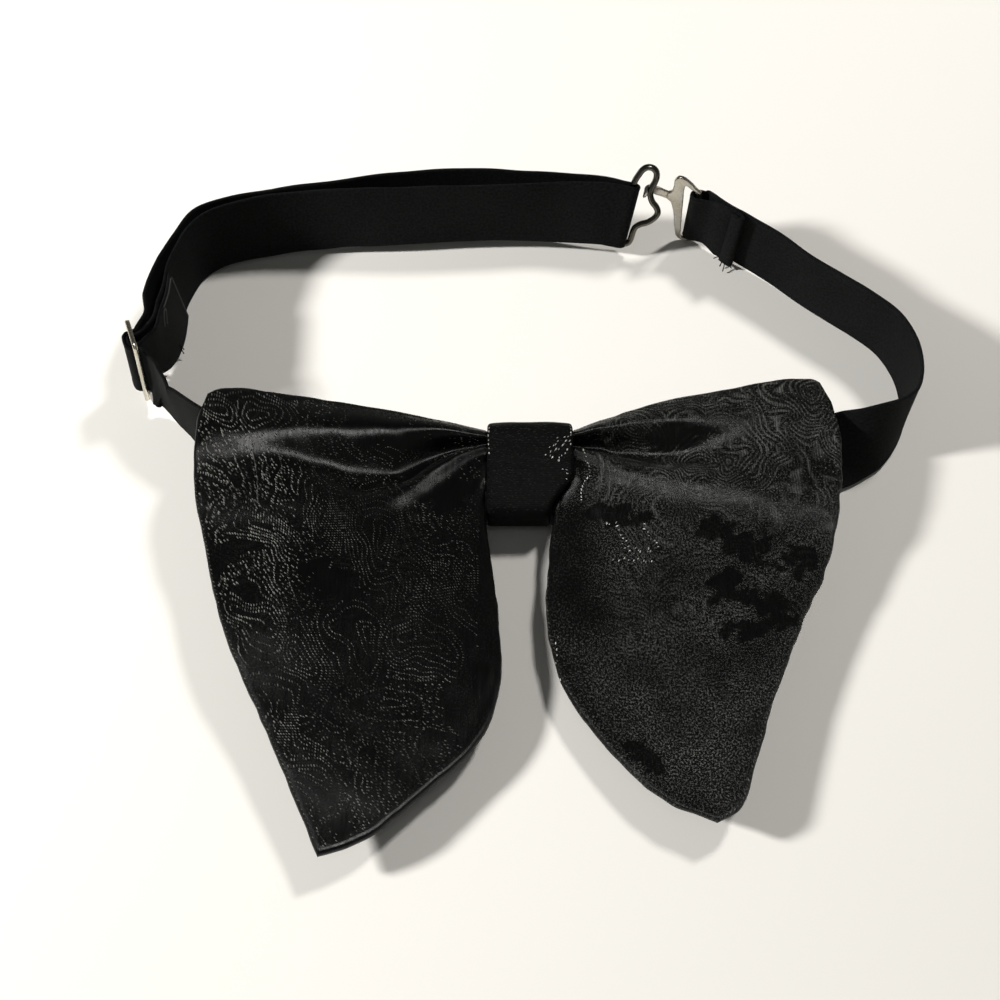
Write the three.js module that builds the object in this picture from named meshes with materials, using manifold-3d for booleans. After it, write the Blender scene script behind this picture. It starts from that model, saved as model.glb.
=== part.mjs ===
// Oversized bow tie: a gathered butterfly bow on an adjustable neck strap with a slider, an eye and a hook.
// Millimetres, +Z up. The bow lies face up on the plane z = 0 with its tips towards -Y, and the strap's ring
// stands on its edge behind it. All tables are measured from the middle of the knot.

import * as THREE from "three";
import { mergeVertices } from "three/addons/utils/BufferGeometryUtils.js";
import Module from "manifold-3d";

const wasm = await Module();
wasm.setup();

// Driving dimensions

const BROCADE_WALL = 2.5; // the turned and pressed panel with its backing
const BAND_WALL = 1.8;
const STRAP_WIDTH = 19;
const STRAP_WALL = 1;
const GAP = 0.3; // clearance kept between pieces that touch on the real object

const BAND_HALF_WIDTH = 10.7;
const BAND_HALF_LENGTH = 12.8;
const BAND_MIDDLE_Y = 2;
const BAND_HEIGHT = 14;
const BAND_CORNER = 4;
const GATHER_HALF_LENGTH = BAND_HALF_LENGTH - BAND_WALL - GAP - 0.15;

const PLATE_THICKNESS = 1.2; // slider and hook are cut from the same sheet
const WIRE_DIAMETER = 1.6;

// Middle of the whole object's box, seen from the middle of the knot
const BOX_MIDDLE_X = -3.08;
const BOX_MIDDLE_Y = 2.2;

// Small helpers

const radians = THREE.MathUtils.degToRad;
const vector = (x, y, z) => new THREE.Vector3(x, y, z);

// Slopes of a curve through (at, value) pairs that never overshoots them
function gentleSlopes(at, value) {
  const chord = value.slice(1).map((v, i) => (v - value[i]) / (at[i + 1] - at[i]));
  return value.map((_, i) => {
    if (i === 0) return chord[0];
    if (i === value.length - 1) return chord[i - 1];
    const before = chord[i - 1];
    const after = chord[i];
    return before * after <= 0 ? 0 : (2 * before * after) / (before + after);
  });
}

// Value at x of the smooth curve through (at, value) pairs
function smoothValue(at, value, x) {
  const slopes = gentleSlopes(at, value);
  let i = 0;
  while (i < at.length - 2 && x > at[i + 1]) i++;
  const span = at[i + 1] - at[i];
  const t = THREE.MathUtils.clamp((x - at[i]) / span, 0, 1);
  const rise = value[i + 1] - value[i];
  const cubic = t * t * (3 - 2 * t);
  return (
    value[i] + rise * cubic + span * (slopes[i] * t * (1 - t) ** 2 - slopes[i + 1] * t * t * (1 - t))
  );
}

// Closed solid between two grids of points with the same rows and columns. A wrapped grid's last row joins its
// first one.
function wallSolid(outer, inner, wrapped = false) {
  const rows = outer.length;
  const columns = outer[0].length;
  const positions = [...outer.flat(), ...inner.flat()].flatMap((p) => [p.x, p.y, p.z]);
  const outside = (r, c) => (r % rows) * columns + c;
  const inside = (r, c) => rows * columns + outside(r, c);
  const faces = [];
  const quad = (a, b, c, d) => faces.push(a, b, c, a, c, d);
  const lastRow = wrapped ? rows : rows - 1;
  for (let r = 0; r < lastRow; r++) {
    for (let c = 0; c < columns - 1; c++) {
      quad(outside(r, c), outside(r + 1, c), outside(r + 1, c + 1), outside(r, c + 1));
      quad(inside(r, c), inside(r, c + 1), inside(r + 1, c + 1), inside(r + 1, c));
    }
    quad(inside(r, 0), inside(r + 1, 0), outside(r + 1, 0), outside(r, 0));
    const end = columns - 1;
    quad(outside(r, end), outside(r + 1, end), inside(r + 1, end), inside(r, end));
  }
  if (!wrapped) {
    for (let c = 0; c < columns - 1; c++) {
      const end = rows - 1;
      quad(outside(0, c), outside(0, c + 1), inside(0, c + 1), inside(0, c));
      quad(inside(end, c), inside(end, c + 1), outside(end, c + 1), outside(end, c));
    }
  }
  const geometry = new THREE.BufferGeometry();
  geometry.setAttribute("position", new THREE.Float32BufferAttribute(positions, 3));
  geometry.setIndex(faces);
  return facingOut(geometry);
}

// The geometry with its triangles turned round if they enclose a negative volume
function facingOut(geometry) {
  const index = geometry.index.array;
  const p = geometry.attributes.position;
  const corner = [vector(), vector(), vector()];
  let volume = 0;
  for (let i = 0; i < index.length; i += 3) {
    corner.forEach((v, k) => v.fromBufferAttribute(p, index[i + k]));
    volume += corner[0].dot(corner[1].cross(corner[2]));
  }
  if (volume < 0) {
    for (let i = 0; i < index.length; i += 3) [index[i + 1], index[i + 2]] = [index[i + 2], index[i + 1]];
  }
  geometry.computeVertexNormals();
  return geometry;
}

function manifoldOf(geometry) {
  const bare = geometry.clone();
  bare.deleteAttribute("normal");
  bare.deleteAttribute("uv");
  const merged = mergeVertices(bare, 1e-4);
  return new wasm.Manifold(
    new wasm.Mesh({
      numProp: 3,
      vertProperties: merged.attributes.position.array,
      triVerts: new Uint32Array(merged.index.array),
    }),
  );
}

function geometryOf(manifold) {
  const mesh = manifold.getMesh();
  const geometry = new THREE.BufferGeometry();
  geometry.setAttribute("position", new THREE.BufferAttribute(mesh.vertProperties, 3));
  geometry.setIndex(new THREE.BufferAttribute(mesh.triVerts, 1));
  geometry.computeVertexNormals();
  return geometry;
}

// Materials

const brocade = new THREE.MeshStandardMaterial({ color: 0x0e0f10, roughness: 0.45, metalness: 0 });
const plainCloth = new THREE.MeshStandardMaterial({ color: 0x151617, roughness: 0.8, metalness: 0 });
const webbing = new THREE.MeshStandardMaterial({ color: 0x17191a, roughness: 0.9, metalness: 0 });
const nickel = new THREE.MeshStandardMaterial({ color: 0xb4b0a8, roughness: 0.3, metalness: 1 });

// Knot band: a short tube of cloth, flat at the back, crowned in front, narrower at its lower right where the
// right wing swells over it

function bandRim(side, y) {
  if (side < 0) return -BAND_HALF_WIDTH;
  const narrowing = 5.7;
  return BAND_HALF_WIDTH - narrowing * THREE.MathUtils.smoothstep(-y, 0, BAND_HALF_LENGTH - BAND_MIDDLE_Y);
}

// Outline of the band's section in the YZ plane, moved in by an inset
function bandSection(inset) {
  const half = BAND_HALF_LENGTH - inset;
  const floor = inset;
  const roof = BAND_HEIGHT - inset;
  const round = BAND_CORNER - inset;
  const shape = new THREE.Shape();
  shape.moveTo(-half + round, floor);
  shape.lineTo(half - round, floor);
  shape.absarc(half - round, floor + round, round, -Math.PI / 2, 0, false);
  shape.lineTo(half, roof - round);
  shape.absarc(half - round, roof - round, round, 0, Math.PI / 2, false);
  shape.lineTo(-half + round, roof);
  shape.absarc(-half + round, roof - round, round, Math.PI / 2, Math.PI, false);
  shape.lineTo(-half, floor + round);
  shape.absarc(-half + round, floor + round, round, Math.PI, 1.5 * Math.PI, false);
  return shape;
}

function bandGeometry() {
  const across = 4;
  const around = 52;
  const grids = [0, BAND_WALL].map((inset) => {
    const outline = bandSection(inset).getSpacedPoints(around).slice(0, around);
    return outline.map((p) =>
      Array.from({ length: across + 1 }, (_, c) => {
        const y = p.x + BAND_MIDDLE_Y;
        const x = THREE.MathUtils.lerp(bandRim(-1, y), bandRim(1, y), c / across);
        return vector(x, y, p.y);
      }),
    );
  });
  return wallSolid(grids[0], grids[1], true);
}

const KNOT_MARGIN = 1.9; // where a wing has opened to its full thickness, outside the band's rim

// Bow: one panel gathered through the band. Each wing is a patch between its top, outer and inner edges and the
// band. Edges run away from the knot as [away from the knot, y].

const leftWing = {
  side: -1,
  topEdge: [[12.6, 13], [32.4, 16], [59.6, 18.4], [76, 18.2], [79.4, 16]],
  outerEdge: [[79.4, 16], [80.7, 9], [80.2, -7.6], [76.1, -24.1], [69.3, -44.4], [58.5, -65.9], [46.4, -90.2]],
  innerEdge: [[12.6, -11.4], [10.2, -18.5], [7.7, -37], [7.5, -53.1], [12.4, -65.8], [24.5, -77.2],
    [36.5, -86.8], [46.4, -90.2]],
};

const rightWing = {
  side: 1,
  topEdge: [[12.6, 13], [32.4, 19.7], [48.5, 23.5], [72, 27], [75, 25.6]],
  outerEdge: [[75, 25.6], [77.2, 14.6], [76.7, 0.7], [71.3, -22.4], [63.5, -37.3], [54.2, -57.2], [49.3, -69.9],
    [44.3, -80.8], [39.5, -83]],
  innerEdge: [[6.9, -11.4], [4.9, -18], [3.6, -38], [5, -46.5], [7.8, -54.3], [20.9, -71.9], [30.2, -79.3],
    [39.5, -83]],
};

// Heights of the cloth's face. A row is a section across a wing, from the knot (reach 0) to the outer edge
// (reach 1). Along it come the top edge, the first ridge, the floor of the hollow, the step up its near side, the
// second ridge's crest, the body, the face and the low inner edge. A name with At is a place along the section,
// 0 at the top edge and 1 at the inner edge.
const BODY_AT = 0.46;
const FACE_AT = 0.7;
const foldColumns = ["reach", "top", "ridgeAt", "ridge", "floorAt", "floor", "stepAt", "step", "crestAt", "crest",
  "body", "face", "low"];

leftWing.folds = [
  [0.0, 11, 0.13, 12.8, 0.19, 9.4, 0.22, 11, 0.26, 12.8, 11.4, 8.8, 6],
  [0.12, 12.4, 0.11, 14.3, 0.17, 8.4, 0.23, 11.4, 0.28, 13.9, 12, 9, 5.4],
  [0.2, 13.2, 0.1, 15.2, 0.2, 8, 0.26, 11.4, 0.31, 14, 12.3, 9, 4.9],
  [0.37, 15, 0.11, 17.4, 0.23, 9.2, 0.28, 11.8, 0.33, 13.6, 12.4, 9, 4.1],
  [0.49, 16.2, 0.11, 18.6, 0.21, 11.2, 0.25, 13.2, 0.31, 14, 12.3, 8.9, 3.6],
  [0.63, 17.8, 0.11, 19.7, 0.18, 14, 0.22, 15.5, 0.28, 15.6, 13, 8.8, 3.2],
  [0.75, 19.4, 0.1, 20.8, 0.155, 17.4, 0.19, 18.2, 0.26, 17.8, 14, 9, 2.9],
  [0.86, 21, 0.09, 21.6, 0.145, 20.2, 0.18, 19.9, 0.26, 19, 15, 9.1, 2.7],
  [1.0, 22.4, 0.08, 22.5, 0.14, 22, 0.18, 21.2, 0.26, 19.4, 15.2, 9, 2.5],
];

rightWing.folds = [
  [0.0, 11, 0.11, 12.9, 0.19, 9, 0.26, 10.6, 0.34, 12.8, 11.4, 8.8, 6],
  [0.1, 11.8, 0.1, 13.8, 0.17, 7.8, 0.26, 10.4, 0.35, 13.6, 11.6, 8.6, 5.4],
  [0.2, 12.6, 0.1, 14.5, 0.2, 7.4, 0.29, 10.4, 0.39, 14.1, 11.9, 8.4, 4.9],
  [0.38, 13.2, 0.1, 15, 0.21, 7.4, 0.29, 10.6, 0.36, 14, 11.3, 7.8, 3.9],
  [0.55, 13.4, 0.085, 14.8, 0.2, 9.6, 0.27, 11.4, 0.33, 13.4, 10.5, 7.2, 3.2],
  [0.68, 13.6, 0.075, 14.5, 0.19, 12, 0.25, 12.2, 0.32, 12.9, 10, 6.8, 2.9],
  [0.82, 13.9, 0.08, 14.3, 0.19, 13, 0.24, 12.5, 0.31, 12, 9.4, 6.4, 2.7],
  [1.0, 14, 0.1, 14.1, 0.19, 13.4, 0.24, 12.6, 0.31, 11.6, 8.8, 5.8, 2.5],
];

// The folds squeezed inside the band
const gather = [0, 10.5, 0.14, 11.8, 0.26, 8, 0.36, 9.6, 0.48, 11.8, 11.2, 9, 6.6];

const asRow = (values) => Object.fromEntries(foldColumns.map((name, i) => [name, values[i]]));

// Height across one section
function heightAcross(row, across) {
  const bodyAt = Math.max(BODY_AT, row.crestAt + 0.08);
  const at = [0, row.ridgeAt, row.floorAt, row.stepAt, row.crestAt, bodyAt, FACE_AT, 1];
  const height = [row.top, row.ridge, row.floor, row.step, row.crest, row.body, row.face, row.low];
  return smoothValue(at, height, across);
}

// The table's row for any reach
function foldRow(wing, reach) {
  const reaches = wing.folds.map((row) => row[0]);
  return asRow(foldColumns.map((_, i) => smoothValue(reaches, wing.folds.map((row) => row[i]), reach)));
}

function edgeCurve(points) {
  return new THREE.CatmullRomCurve3(points.map(([x, y]) => vector(x, y, 0)), false, "centripetal");
}

// Point of a wing's face: reach 0 to 1 away from the knot, across 0 to 1 from the top edge to the inner edge
function wingFace(wing) {
  const top = edgeCurve(wing.topEdge);
  const outer = edgeCurve(wing.outerEdge);
  const inner = edgeCurve(wing.innerEdge);
  const knotTop = top.getPointAt(0);
  const knotLow = inner.getPointAt(0);
  const corner = outer.getPointAt(0);
  const tip = outer.getPointAt(1);
  return (reach, across) => {
    const knotSide = knotTop.clone().lerp(knotLow, across);
    if (wing.side > 0) knotSide.x = bandRim(1, knotSide.y) + KNOT_MARGIN;
    const between = top.getPointAt(reach).multiplyScalar(1 - across);
    between.addScaledVector(inner.getPointAt(reach), across);
    between.addScaledVector(knotSide, 1 - reach);
    between.addScaledVector(outer.getPointAt(across), reach);
    between.addScaledVector(knotTop, -(1 - reach) * (1 - across));
    between.addScaledVector(knotLow, -(1 - reach) * across);
    between.addScaledVector(corner, -reach * (1 - across));
    between.addScaledVector(tip, -reach * across);
    const height = heightAcross(foldRow(wing, reach), across);
    return vector(wing.side * between.x, between.y, height);
  };
}

function gatherFace(side, across) {
  const y = BAND_MIDDLE_Y + GATHER_HALF_LENGTH * (1 - 2 * across);
  const x = side === 0 ? 0 : bandRim(side, y) + side * GAP;
  return vector(x, y, heightAcross(asRow(gather), across));
}

function bowGeometry() {
  const reachSteps = 22;
  const acrossSteps = 30;
  const spread = (step) => (step / reachSteps) ** 1.15;
  // closer columns near the top edge, where the folds are
  const across = Array.from({ length: acrossSteps + 1 }, (_, c) => (c / acrossSteps) ** 1.35);
  const rowsOf = (wing) => {
    const face = wingFace(wing);
    return Array.from({ length: reachSteps + 1 }, (_, r) => across.map((a) => face(spread(r), a)));
  };
  const middle = [-1, 0, 1].map((side) => across.map((a) => gatherFace(side, a)));
  const face = [...rowsOf(leftWing).reverse(), ...middle, ...rowsOf(rightWing)];
  const back = face.map((row) => row.map((p) => vector(p.x, p.y, p.z - BROCADE_WALL)));
  return wallSolid(face, back);
}

// Strap path. It is one strip, from its hem at the hook, round the right of the ring, flat behind the bow, through
// the slider, round the back to the eye, and back inside itself to the slider's bar. A run's rows give the lower
// edge (x, y), how far it is lifted, how far the strip leans out of the ring from upright in degrees, and how far
// the lower third is curled outwards.

const runColumns = ["x", "y", "lift", "lean", "curl"];

// The turned end: its hem is folded under and lies inside the ring
const hemRun = [
  [56.0, 78.1, 1.1, 0, 0],
  [58.0, 76.4, 1, 0, 0],
  [59.0, 76.0, 0.9, 0, 0],
  [59.4, 76.9, 0.9, 0, 0],
  [57.6, 78.7, 1, 0, 0],
  [54.5, 80.7, 1.1, 0, 0],
];

const rightRun = [
  [52.7, 84.7, 1.2, 0, 0],
  [56.3, 81.2, 1, 0, 0],
  [60.6, 78.1, 0.7, 0, 0],
  [68.8, 71.3, 0.3, 0, 0],
  [77.2, 63.0, 0, 0, 0],
  [84.4, 56.4, 0, 0, 0],
  [91.0, 50.6, 0, 0, 0],
  [96.6, 44.0, 0, 0, 0],
  [99.5, 35.5, 0, 0, 0],
  [99.6, 26.5, 0, -1, 0],
  [98.2, 19.8, 0, -4, 0],
  [95.5, 14.2, 0, -14, 0],
  [91.2, 8.4, 0.15, -33, 0],
  [85.8, 4.2, 0.2, -55, 0],
  [79.8, 1.4, 0.2, -66, 0],
  [70.0, -1.4, 0.5, -76, 0],
  [56.0, -4.4, 1.3, -85, 0],
  [40.0, -6.6, 2.2, -90, 0],
  [20.0, -7.5, 2.2, -90, 0],
  [0.0, -7.5, 2.2, -90, 0],
  [-18.0, -7.5, 2.2, -90, 0],
  [-33.0, -7.6, 2.2, -90, 0],
  [-46.0, -6.6, 1.4, -80, 0],
  [-58.0, -3.8, 0.7, -64, 0],
  [-69.0, 0.6, 0.2, -43, 0],
  [-77.5, 6.0, 0, -22, 0],
  [-83.8, 12.2, 0, -9, 0],
  [-88.4, 17.8, 0, -3, 0],
  [-91.9, 21.6, 0.3, 0, 0.2],
];

const outerRun = [
  [-101.6, 47.5, 1, 0, 0],
  [-100.9, 56.5, 0.3, 0, 0],
  [-98.8, 65.0, 0.1, 0, 0],
  [-95.2, 72.0, 0.1, 3, 0],
  [-89.8, 78.2, 0.3, 10, 0],
  [-81.0, 81.0, 0.6, 15, 0],
  [-70.0, 83.4, 1, 14, 0],
  [-56.0, 85.6, 1.6, 13, 0],
  [-38.0, 89.0, 2.1, 11, 0],
  [-18.0, 90.8, 2.3, 10, 0],
  [0.0, 89.4, 2.3, 12, 0],
  [12.6, 87.0, 2.3, 17, 0],
];

const innerRun = [
  [12.2, 83.4, 2.7, 17, 0],
  [-1.0, 84.4, 2.5, 11, 0],
  [-18.0, 84.2, 2.4, 9, 0],
  [-38.0, 82.8, 2.2, 13, 0],
  [-56.0, 82.2, 1.6, 15, 0],
  [-70.0, 80.8, 1, 16, 0],
  [-80.2, 78.4, 0.6, 16, 0],
  [-87.6, 76.0, 0.3, 11, 0],
  [-92.2, 72.8, 0, 4, 0],
  [-95.2, 67.2, 0, 0, 0],
  [-97.9, 60.2, 0.3, 0, 0],
  [-99.1, 53.0, 0.6, 0, 0],
  [-99.7, 46.5, 1, 0, 0],
];

// The end sewn back to the strap, bulging into the ring
const flapRun = [
  [-98.1, 40.0, 1.2, -6, 0],
  [-96.6, 44.6, 0.6, -4, 0],
  [-96.0, 49.6, 0.3, -1, 0],
  [-96.4, 54.0, 0.3, 0, 0],
  [-96.9, 57.6, 0.4, 0, 0],
];

// Stations of a run: the middle of the strip, its upward direction and its curl. outside is 1 where the outside
// of the ring lies to the left of the way the run goes, and -1 where it lies to the right.
function runStations(rows, outside) {
  const low = rows.map(([x, y, lift]) => vector(x, y, lift));
  const curve = new THREE.CatmullRomCurve3(low, false, "centripetal");
  return rows.map((values, i) => {
    const row = Object.fromEntries(runColumns.map((name, k) => [name, values[k]]));
    const along = curve.getTangent(i / (rows.length - 1));
    const outward = vector(-along.y, along.x, 0).multiplyScalar(outside).normalize();
    const lean = radians(row.lean);
    const up = vector(0, 0, Math.cos(lean)).addScaledVector(outward, Math.sin(lean));
    const edge = low[i].clone().add(vector(0, 0, (STRAP_WALL / 2) * Math.abs(Math.sin(lean))));
    const middle = edge.addScaledVector(up, STRAP_WIDTH / 2);
    return { middle, up, width: STRAP_WIDTH, curl: row.curl * outside };
  });
}

// A frame to place hardware in: x along the strap, z up the strap's width, y squared to both
function hardwareFrame(origin, along, up) {
  const x = along.clone().normalize();
  const z = up.clone().addScaledVector(x, -up.dot(x)).normalize();
  const y = z.clone().cross(x);
  return new THREE.Matrix4().makeBasis(x, y, z).setPosition(origin);
}

// Stations at points [along, out] of a hardware frame, with a curl where a third value gives one
function stationsIn(frame, points, { lift = 0, width = STRAP_WIDTH } = {}) {
  const up = vector(0, 0, 1).transformDirection(frame);
  return points.map(([a, n, curl = 0]) => ({ middle: vector(a, n, lift).applyMatrix4(frame), up, width, curl }));
}

// Points [along, out] of a turn round a bar
function turnPoints(radius, from, to, steps, centre = [0, 0]) {
  return Array.from({ length: steps + 1 }, (_, i) => {
    const angle = radians(THREE.MathUtils.lerp(from, to, i / steps));
    return [centre[0] + radius * Math.cos(angle), centre[1] + radius * Math.sin(angle)];
  });
}

// Slider: its frame looks along the strap away from the bow, out of the ring and up

const SLIDER_LENGTH = 23.4;
const SLIDER_WIDTH = 10.4;
const SLIDER_SLOT_LENGTH = 20.2;
const SLIDER_END_BAR = 1.4;
const SLIDER_MIDDLE_BAR = 1.6;
const sliderFrame = hardwareFrame(vector(-102.1, 33.4, 12), vector(-0.384, 0.923, 0), vector(0.119, 0.049, 0.992));
const STRAP_IN_SLIDER = 17.4; // the strap is squeezed a little in the slots

// Points [along, out]: the strap from the bow in front of the near end bar, over the middle bar and out again, and
// the sewn end round the middle bar. The lower third curls outwards where the strap reaches the slider.
const wovenIn = [[-10.4, -3.8, 0.8], [-8.8, -3.6, 1.8], [-7.2, -3.1, 2.1], [-5.6, -2.4, 0.7]];
const wovenOver = [
  [-4.3, -1.95], [-3.25, -1.35], [-2.85, -0.5], [-2.85, 0.4], [-2.7, 1.3], [-2.1, 2.2], [-1.1, 2.7], [0, 2.8],
  [1.1, 2.7], [2.1, 2.2], [2.7, 1.3], [2.85, 0.4], [2.85, -0.5], [3.25, -1.35], [4.3, -2.1], [5.8, -3.2], [8, -4.9],
];
const sewnIn = [[5.6, -6.2], [3.2, -3.7], [2.05, -2], [1.68, -0.8]];
const sewnRound = [
  [1.62, 0], [1.62, 0.7], [1.3, 1.28], [0.7, 1.45], [0, 1.45], [-0.7, 1.45], [-1.3, 1.28], [-1.62, 0.7], [-1.62, 0],
];
const sewnOut = [[-1.55, -1], [-0.8, -2.2], [0.4, -3.8], [1.7, -5.6]];

// A rectangle with rounded corners
function roundedRectangle(width, height, radius, x = 0, y = 0) {
  const w = width / 2 - radius;
  const h = height / 2 - radius;
  const shape = new THREE.Shape();
  shape.absarc(x + w, y + h, radius, 0, Math.PI / 2, false);
  shape.absarc(x - w, y + h, radius, Math.PI / 2, Math.PI, false);
  shape.absarc(x - w, y - h, radius, Math.PI, 1.5 * Math.PI, false);
  shape.absarc(x + w, y - h, radius, 1.5 * Math.PI, 2 * Math.PI, false);
  shape.closePath();
  return shape;
}

// A flat plate of a shape drawn in [along, up], placed in a hardware frame
function plateGeometry(shape, curveSegments) {
  const geometry = new THREE.ExtrudeGeometry(shape, { depth: PLATE_THICKNESS, bevelEnabled: false, curveSegments });
  geometry.translate(0, 0, -PLATE_THICKNESS / 2);
  return geometry.rotateX(Math.PI / 2);
}

function sliderGeometry() {
  const plate = roundedRectangle(SLIDER_WIDTH, SLIDER_LENGTH, 2);
  const slotWidth = (SLIDER_WIDTH - 2 * SLIDER_END_BAR - SLIDER_MIDDLE_BAR) / 2;
  for (const side of [-1, 1]) {
    const slotAt = (side * (SLIDER_MIDDLE_BAR + slotWidth)) / 2;
    const slot = roundedRectangle(slotWidth, SLIDER_SLOT_LENGTH, 0.7, slotAt);
    plate.holes.push(new THREE.Path(slot.getPoints(3)));
  }
  return plateGeometry(plate, 4).applyMatrix4(sliderFrame);
}

// Eye: a wire bent to two bumps with a notch between them, closed by the straight bar inside the strap's fold. Its
// frame starts at the lower corner of the strap's end and looks along the strap to the hook, out of the ring, up.

const EYE_BAR_AT = -2.1;
const eyeFrame = hardwareFrame(vector(28.75, 82.05, 2.3), vector(0.98, -0.18, -0.11), vector(0.17, 0.33, 0.93));

const eyeWire = [
  [EYE_BAR_AT, 9.3], [EYE_BAR_AT, 14], [EYE_BAR_AT, 18.6], [-1.9, 20.4], [-1.3, 22.2], [-0.6, 23.8], [0.5, 24.7],
  [1.9, 24.8], [3.1, 24], [3.6, 22.6], [3.5, 21], [3.1, 19.6], [3, 18.2], [3.3, 16.8], [4.3, 15.2], [5.7, 14],
  [6.5, 12.7], [6.4, 11.4], [5.6, 10.1], [4.2, 8.8], [2.6, 7.9], [1.5, 6.8], [1.15, 5.3], [1.15, 3.6], [1.2, 1.2],
  [0.85, -0.75], [-0.4, -1.6], [-1.7, -1.1], [EYE_BAR_AT, 0.8], [EYE_BAR_AT, 4.5], [EYE_BAR_AT, 8.9],
];

function eyeGeometry() {
  const points = eyeWire.map(([along, up]) => vector(along, 0, up).applyMatrix4(eyeFrame));
  const path = new THREE.CatmullRomCurve3(points, false, "centripetal");
  const section = new THREE.Shape();
  section.absarc(0, 0, WIRE_DIAMETER / 2, 0, 2 * Math.PI, false);
  return new THREE.ExtrudeGeometry(section, { steps: 64, curveSegments: 5, bevelEnabled: false, extrudePath: path });
}

// Hook: a slotted plate with a tongue that curls round the eye's notch. Its frame starts in the middle of the slot
// bar and looks away from the strap to the eye, into the ring and up.

const SLOT_BAR_HALF = 0.8;
const hookFrame = hardwareFrame(vector(48.1, 86.8, 10.1), vector(-0.987, 0.158, 0), vector(0, 0, 1));
const hookOutline = [
  [-SLOT_BAR_HALF, -9.6], [0.2, -10], [1.9, -9.9], [3.8, -8.6], [5, -4.9], [5.7, -0.9], [6.4, 2.1], [7.4, 4.7],
  [8.6, 5.8], [8.6, 7.8], [7.5, 8.6], [7.2, 10.5], [7.2, 12.6], [6.2, 14], [4.6, 13.8], [2.4, 12.2], [0.4, 10.1],
  [-SLOT_BAR_HALF, 9],
];
const hookSlot = [
  [SLOT_BAR_HALF, -8.6], [2.2, -8.6], [2.7, -7.6], [3, -4.6], [3.4, 0], [3.8, 5.5], [4.1, 9.8], [3.8, 11.1],
  [2.4, 10.1], [SLOT_BAR_HALF, 8.7],
];
const STRAP_IN_HOOK = { lift: 0.1, width: 16.2 };
const TONGUE_WIDTH = 2.4;
const TONGUE_THICKNESS = 0.8;
const tongueRun = [[7.4, 0, 6.5], [9.4, 0, 7.2], [11.4, 0, 7.9]]; // along, into the ring, up
const notch = [13.2, 1.55, 8.3]; // the wire's place in the tongue's curl
const notchUp = [-0.09, -0.36, 0.93];

function hookGeometry() {
  const toPoints = (outline) => outline.map(([a, z]) => new THREE.Vector2(a, z));
  const plate = new THREE.Shape(toPoints(hookOutline));
  plate.holes.push(new THREE.Path(toPoints(hookSlot)));
  const turn = WIRE_DIAMETER / 2 + GAP + TONGUE_THICKNESS / 2 + 0.15;
  const curl = turnPoints(turn, -90, 120, 9, notch).map(([a, n]) => [a, n, notch[2]]);
  const stations = [...tongueRun, ...curl].map(([a, n, z], i) => {
    const up = i < 2 ? vector(0, 0, 1) : vector(...notchUp);
    return { middle: vector(a, n, z), up, width: TONGUE_WIDTH, curl: 0 };
  });
  const tongue = ribbonGeometry(stations, TONGUE_THICKNESS);
  return geometryOf(manifoldOf(plateGeometry(plate)).add(manifoldOf(tongue))).applyMatrix4(hookFrame);
}

// Flat strip through stations. Its width runs along each station's upward direction, squared to the path, and a
// curl pushes the lower third to the strip's left.
function ribbonGeometry(stations, thickness) {
  const faces = [[], []];
  stations.forEach((station, i) => {
    const before = stations[Math.max(i - 1, 0)].middle;
    const after = stations[Math.min(i + 1, stations.length - 1)].middle;
    const along = after.clone().sub(before).normalize();
    const up = station.up.clone().addScaledVector(along, -station.up.dot(along)).normalize();
    const left = up.clone().cross(along);
    const places = [[-1 / 2, station.curl], [-1 / 6, 0], [1 / 2, 0]];
    [1, -1].forEach((face, k) => {
      const row = places.map(([share, aside]) =>
        station.middle
          .clone()
          .addScaledVector(up, share * station.width)
          .addScaledVector(left, aside + (face * thickness) / 2),
      );
      faces[k].push(row);
    });
  });
  return wallSolid(faces[0], faces[1]);
}

// The given stations with smooth ones between them, at most the given length apart
function smoothStations(stations, longest) {
  const middles = new THREE.CatmullRomCurve3(stations.map((s) => s.middle), false, "centripetal");
  const ups = new THREE.CatmullRomCurve3(stations.map((s) => s.up), false, "centripetal");
  const between = THREE.MathUtils.lerp;
  const fine = [];
  const last = stations.length - 1;
  for (let i = 0; i < last; i++) {
    const [a, b] = [stations[i], stations[i + 1]];
    const parts = Math.ceil(a.middle.distanceTo(b.middle) / longest);
    for (let k = 0; k < parts; k++) {
      const t = (i + k / parts) / last;
      fine.push({
        middle: middles.getPoint(t),
        up: ups.getPoint(t).normalize(),
        width: between(a.width, b.width, k / parts),
        curl: between(a.curl, b.curl, k / parts),
      });
    }
  }
  fine.push(stations[last]);
  return fine;
}

function strapStations() {
  const barTurn = SLOT_BAR_HALF + GAP + STRAP_WALL / 2 + 0.22;
  const wireTurn = WIRE_DIAMETER / 2 + GAP + STRAP_WALL / 2 + 0.08;
  const roundWire = [
    [-8, 1.75], [-5, 1.65], ...turnPoints(wireTurn, 90, -90, 8, [EYE_BAR_AT, 0]), [-5, -1.65], [-8, -1.75],
  ];
  const inSlider = { width: STRAP_IN_SLIDER };
  return [
    ...runStations(hemRun, -1),
    ...stationsIn(hookFrame, [[-3.6, 2.3], ...turnPoints(barTurn, 100, -100, 8), [-2.5, -1.4]], STRAP_IN_HOOK),
    ...runStations(rightRun, 1),
    ...stationsIn(sliderFrame, [...wovenIn, ...wovenOver], inSlider),
    ...runStations(outerRun, 1),
    ...stationsIn(eyeFrame, roundWire, { lift: STRAP_WIDTH / 2 }),
    ...runStations(innerRun, -1),
    ...stationsIn(sliderFrame, [...sewnIn, ...sewnRound, ...sewnOut], inSlider),
    ...runStations(flapRun, 1),
  ];
}

const strapLine = smoothStations(strapStations(), 4.5);

// Assembly

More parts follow.
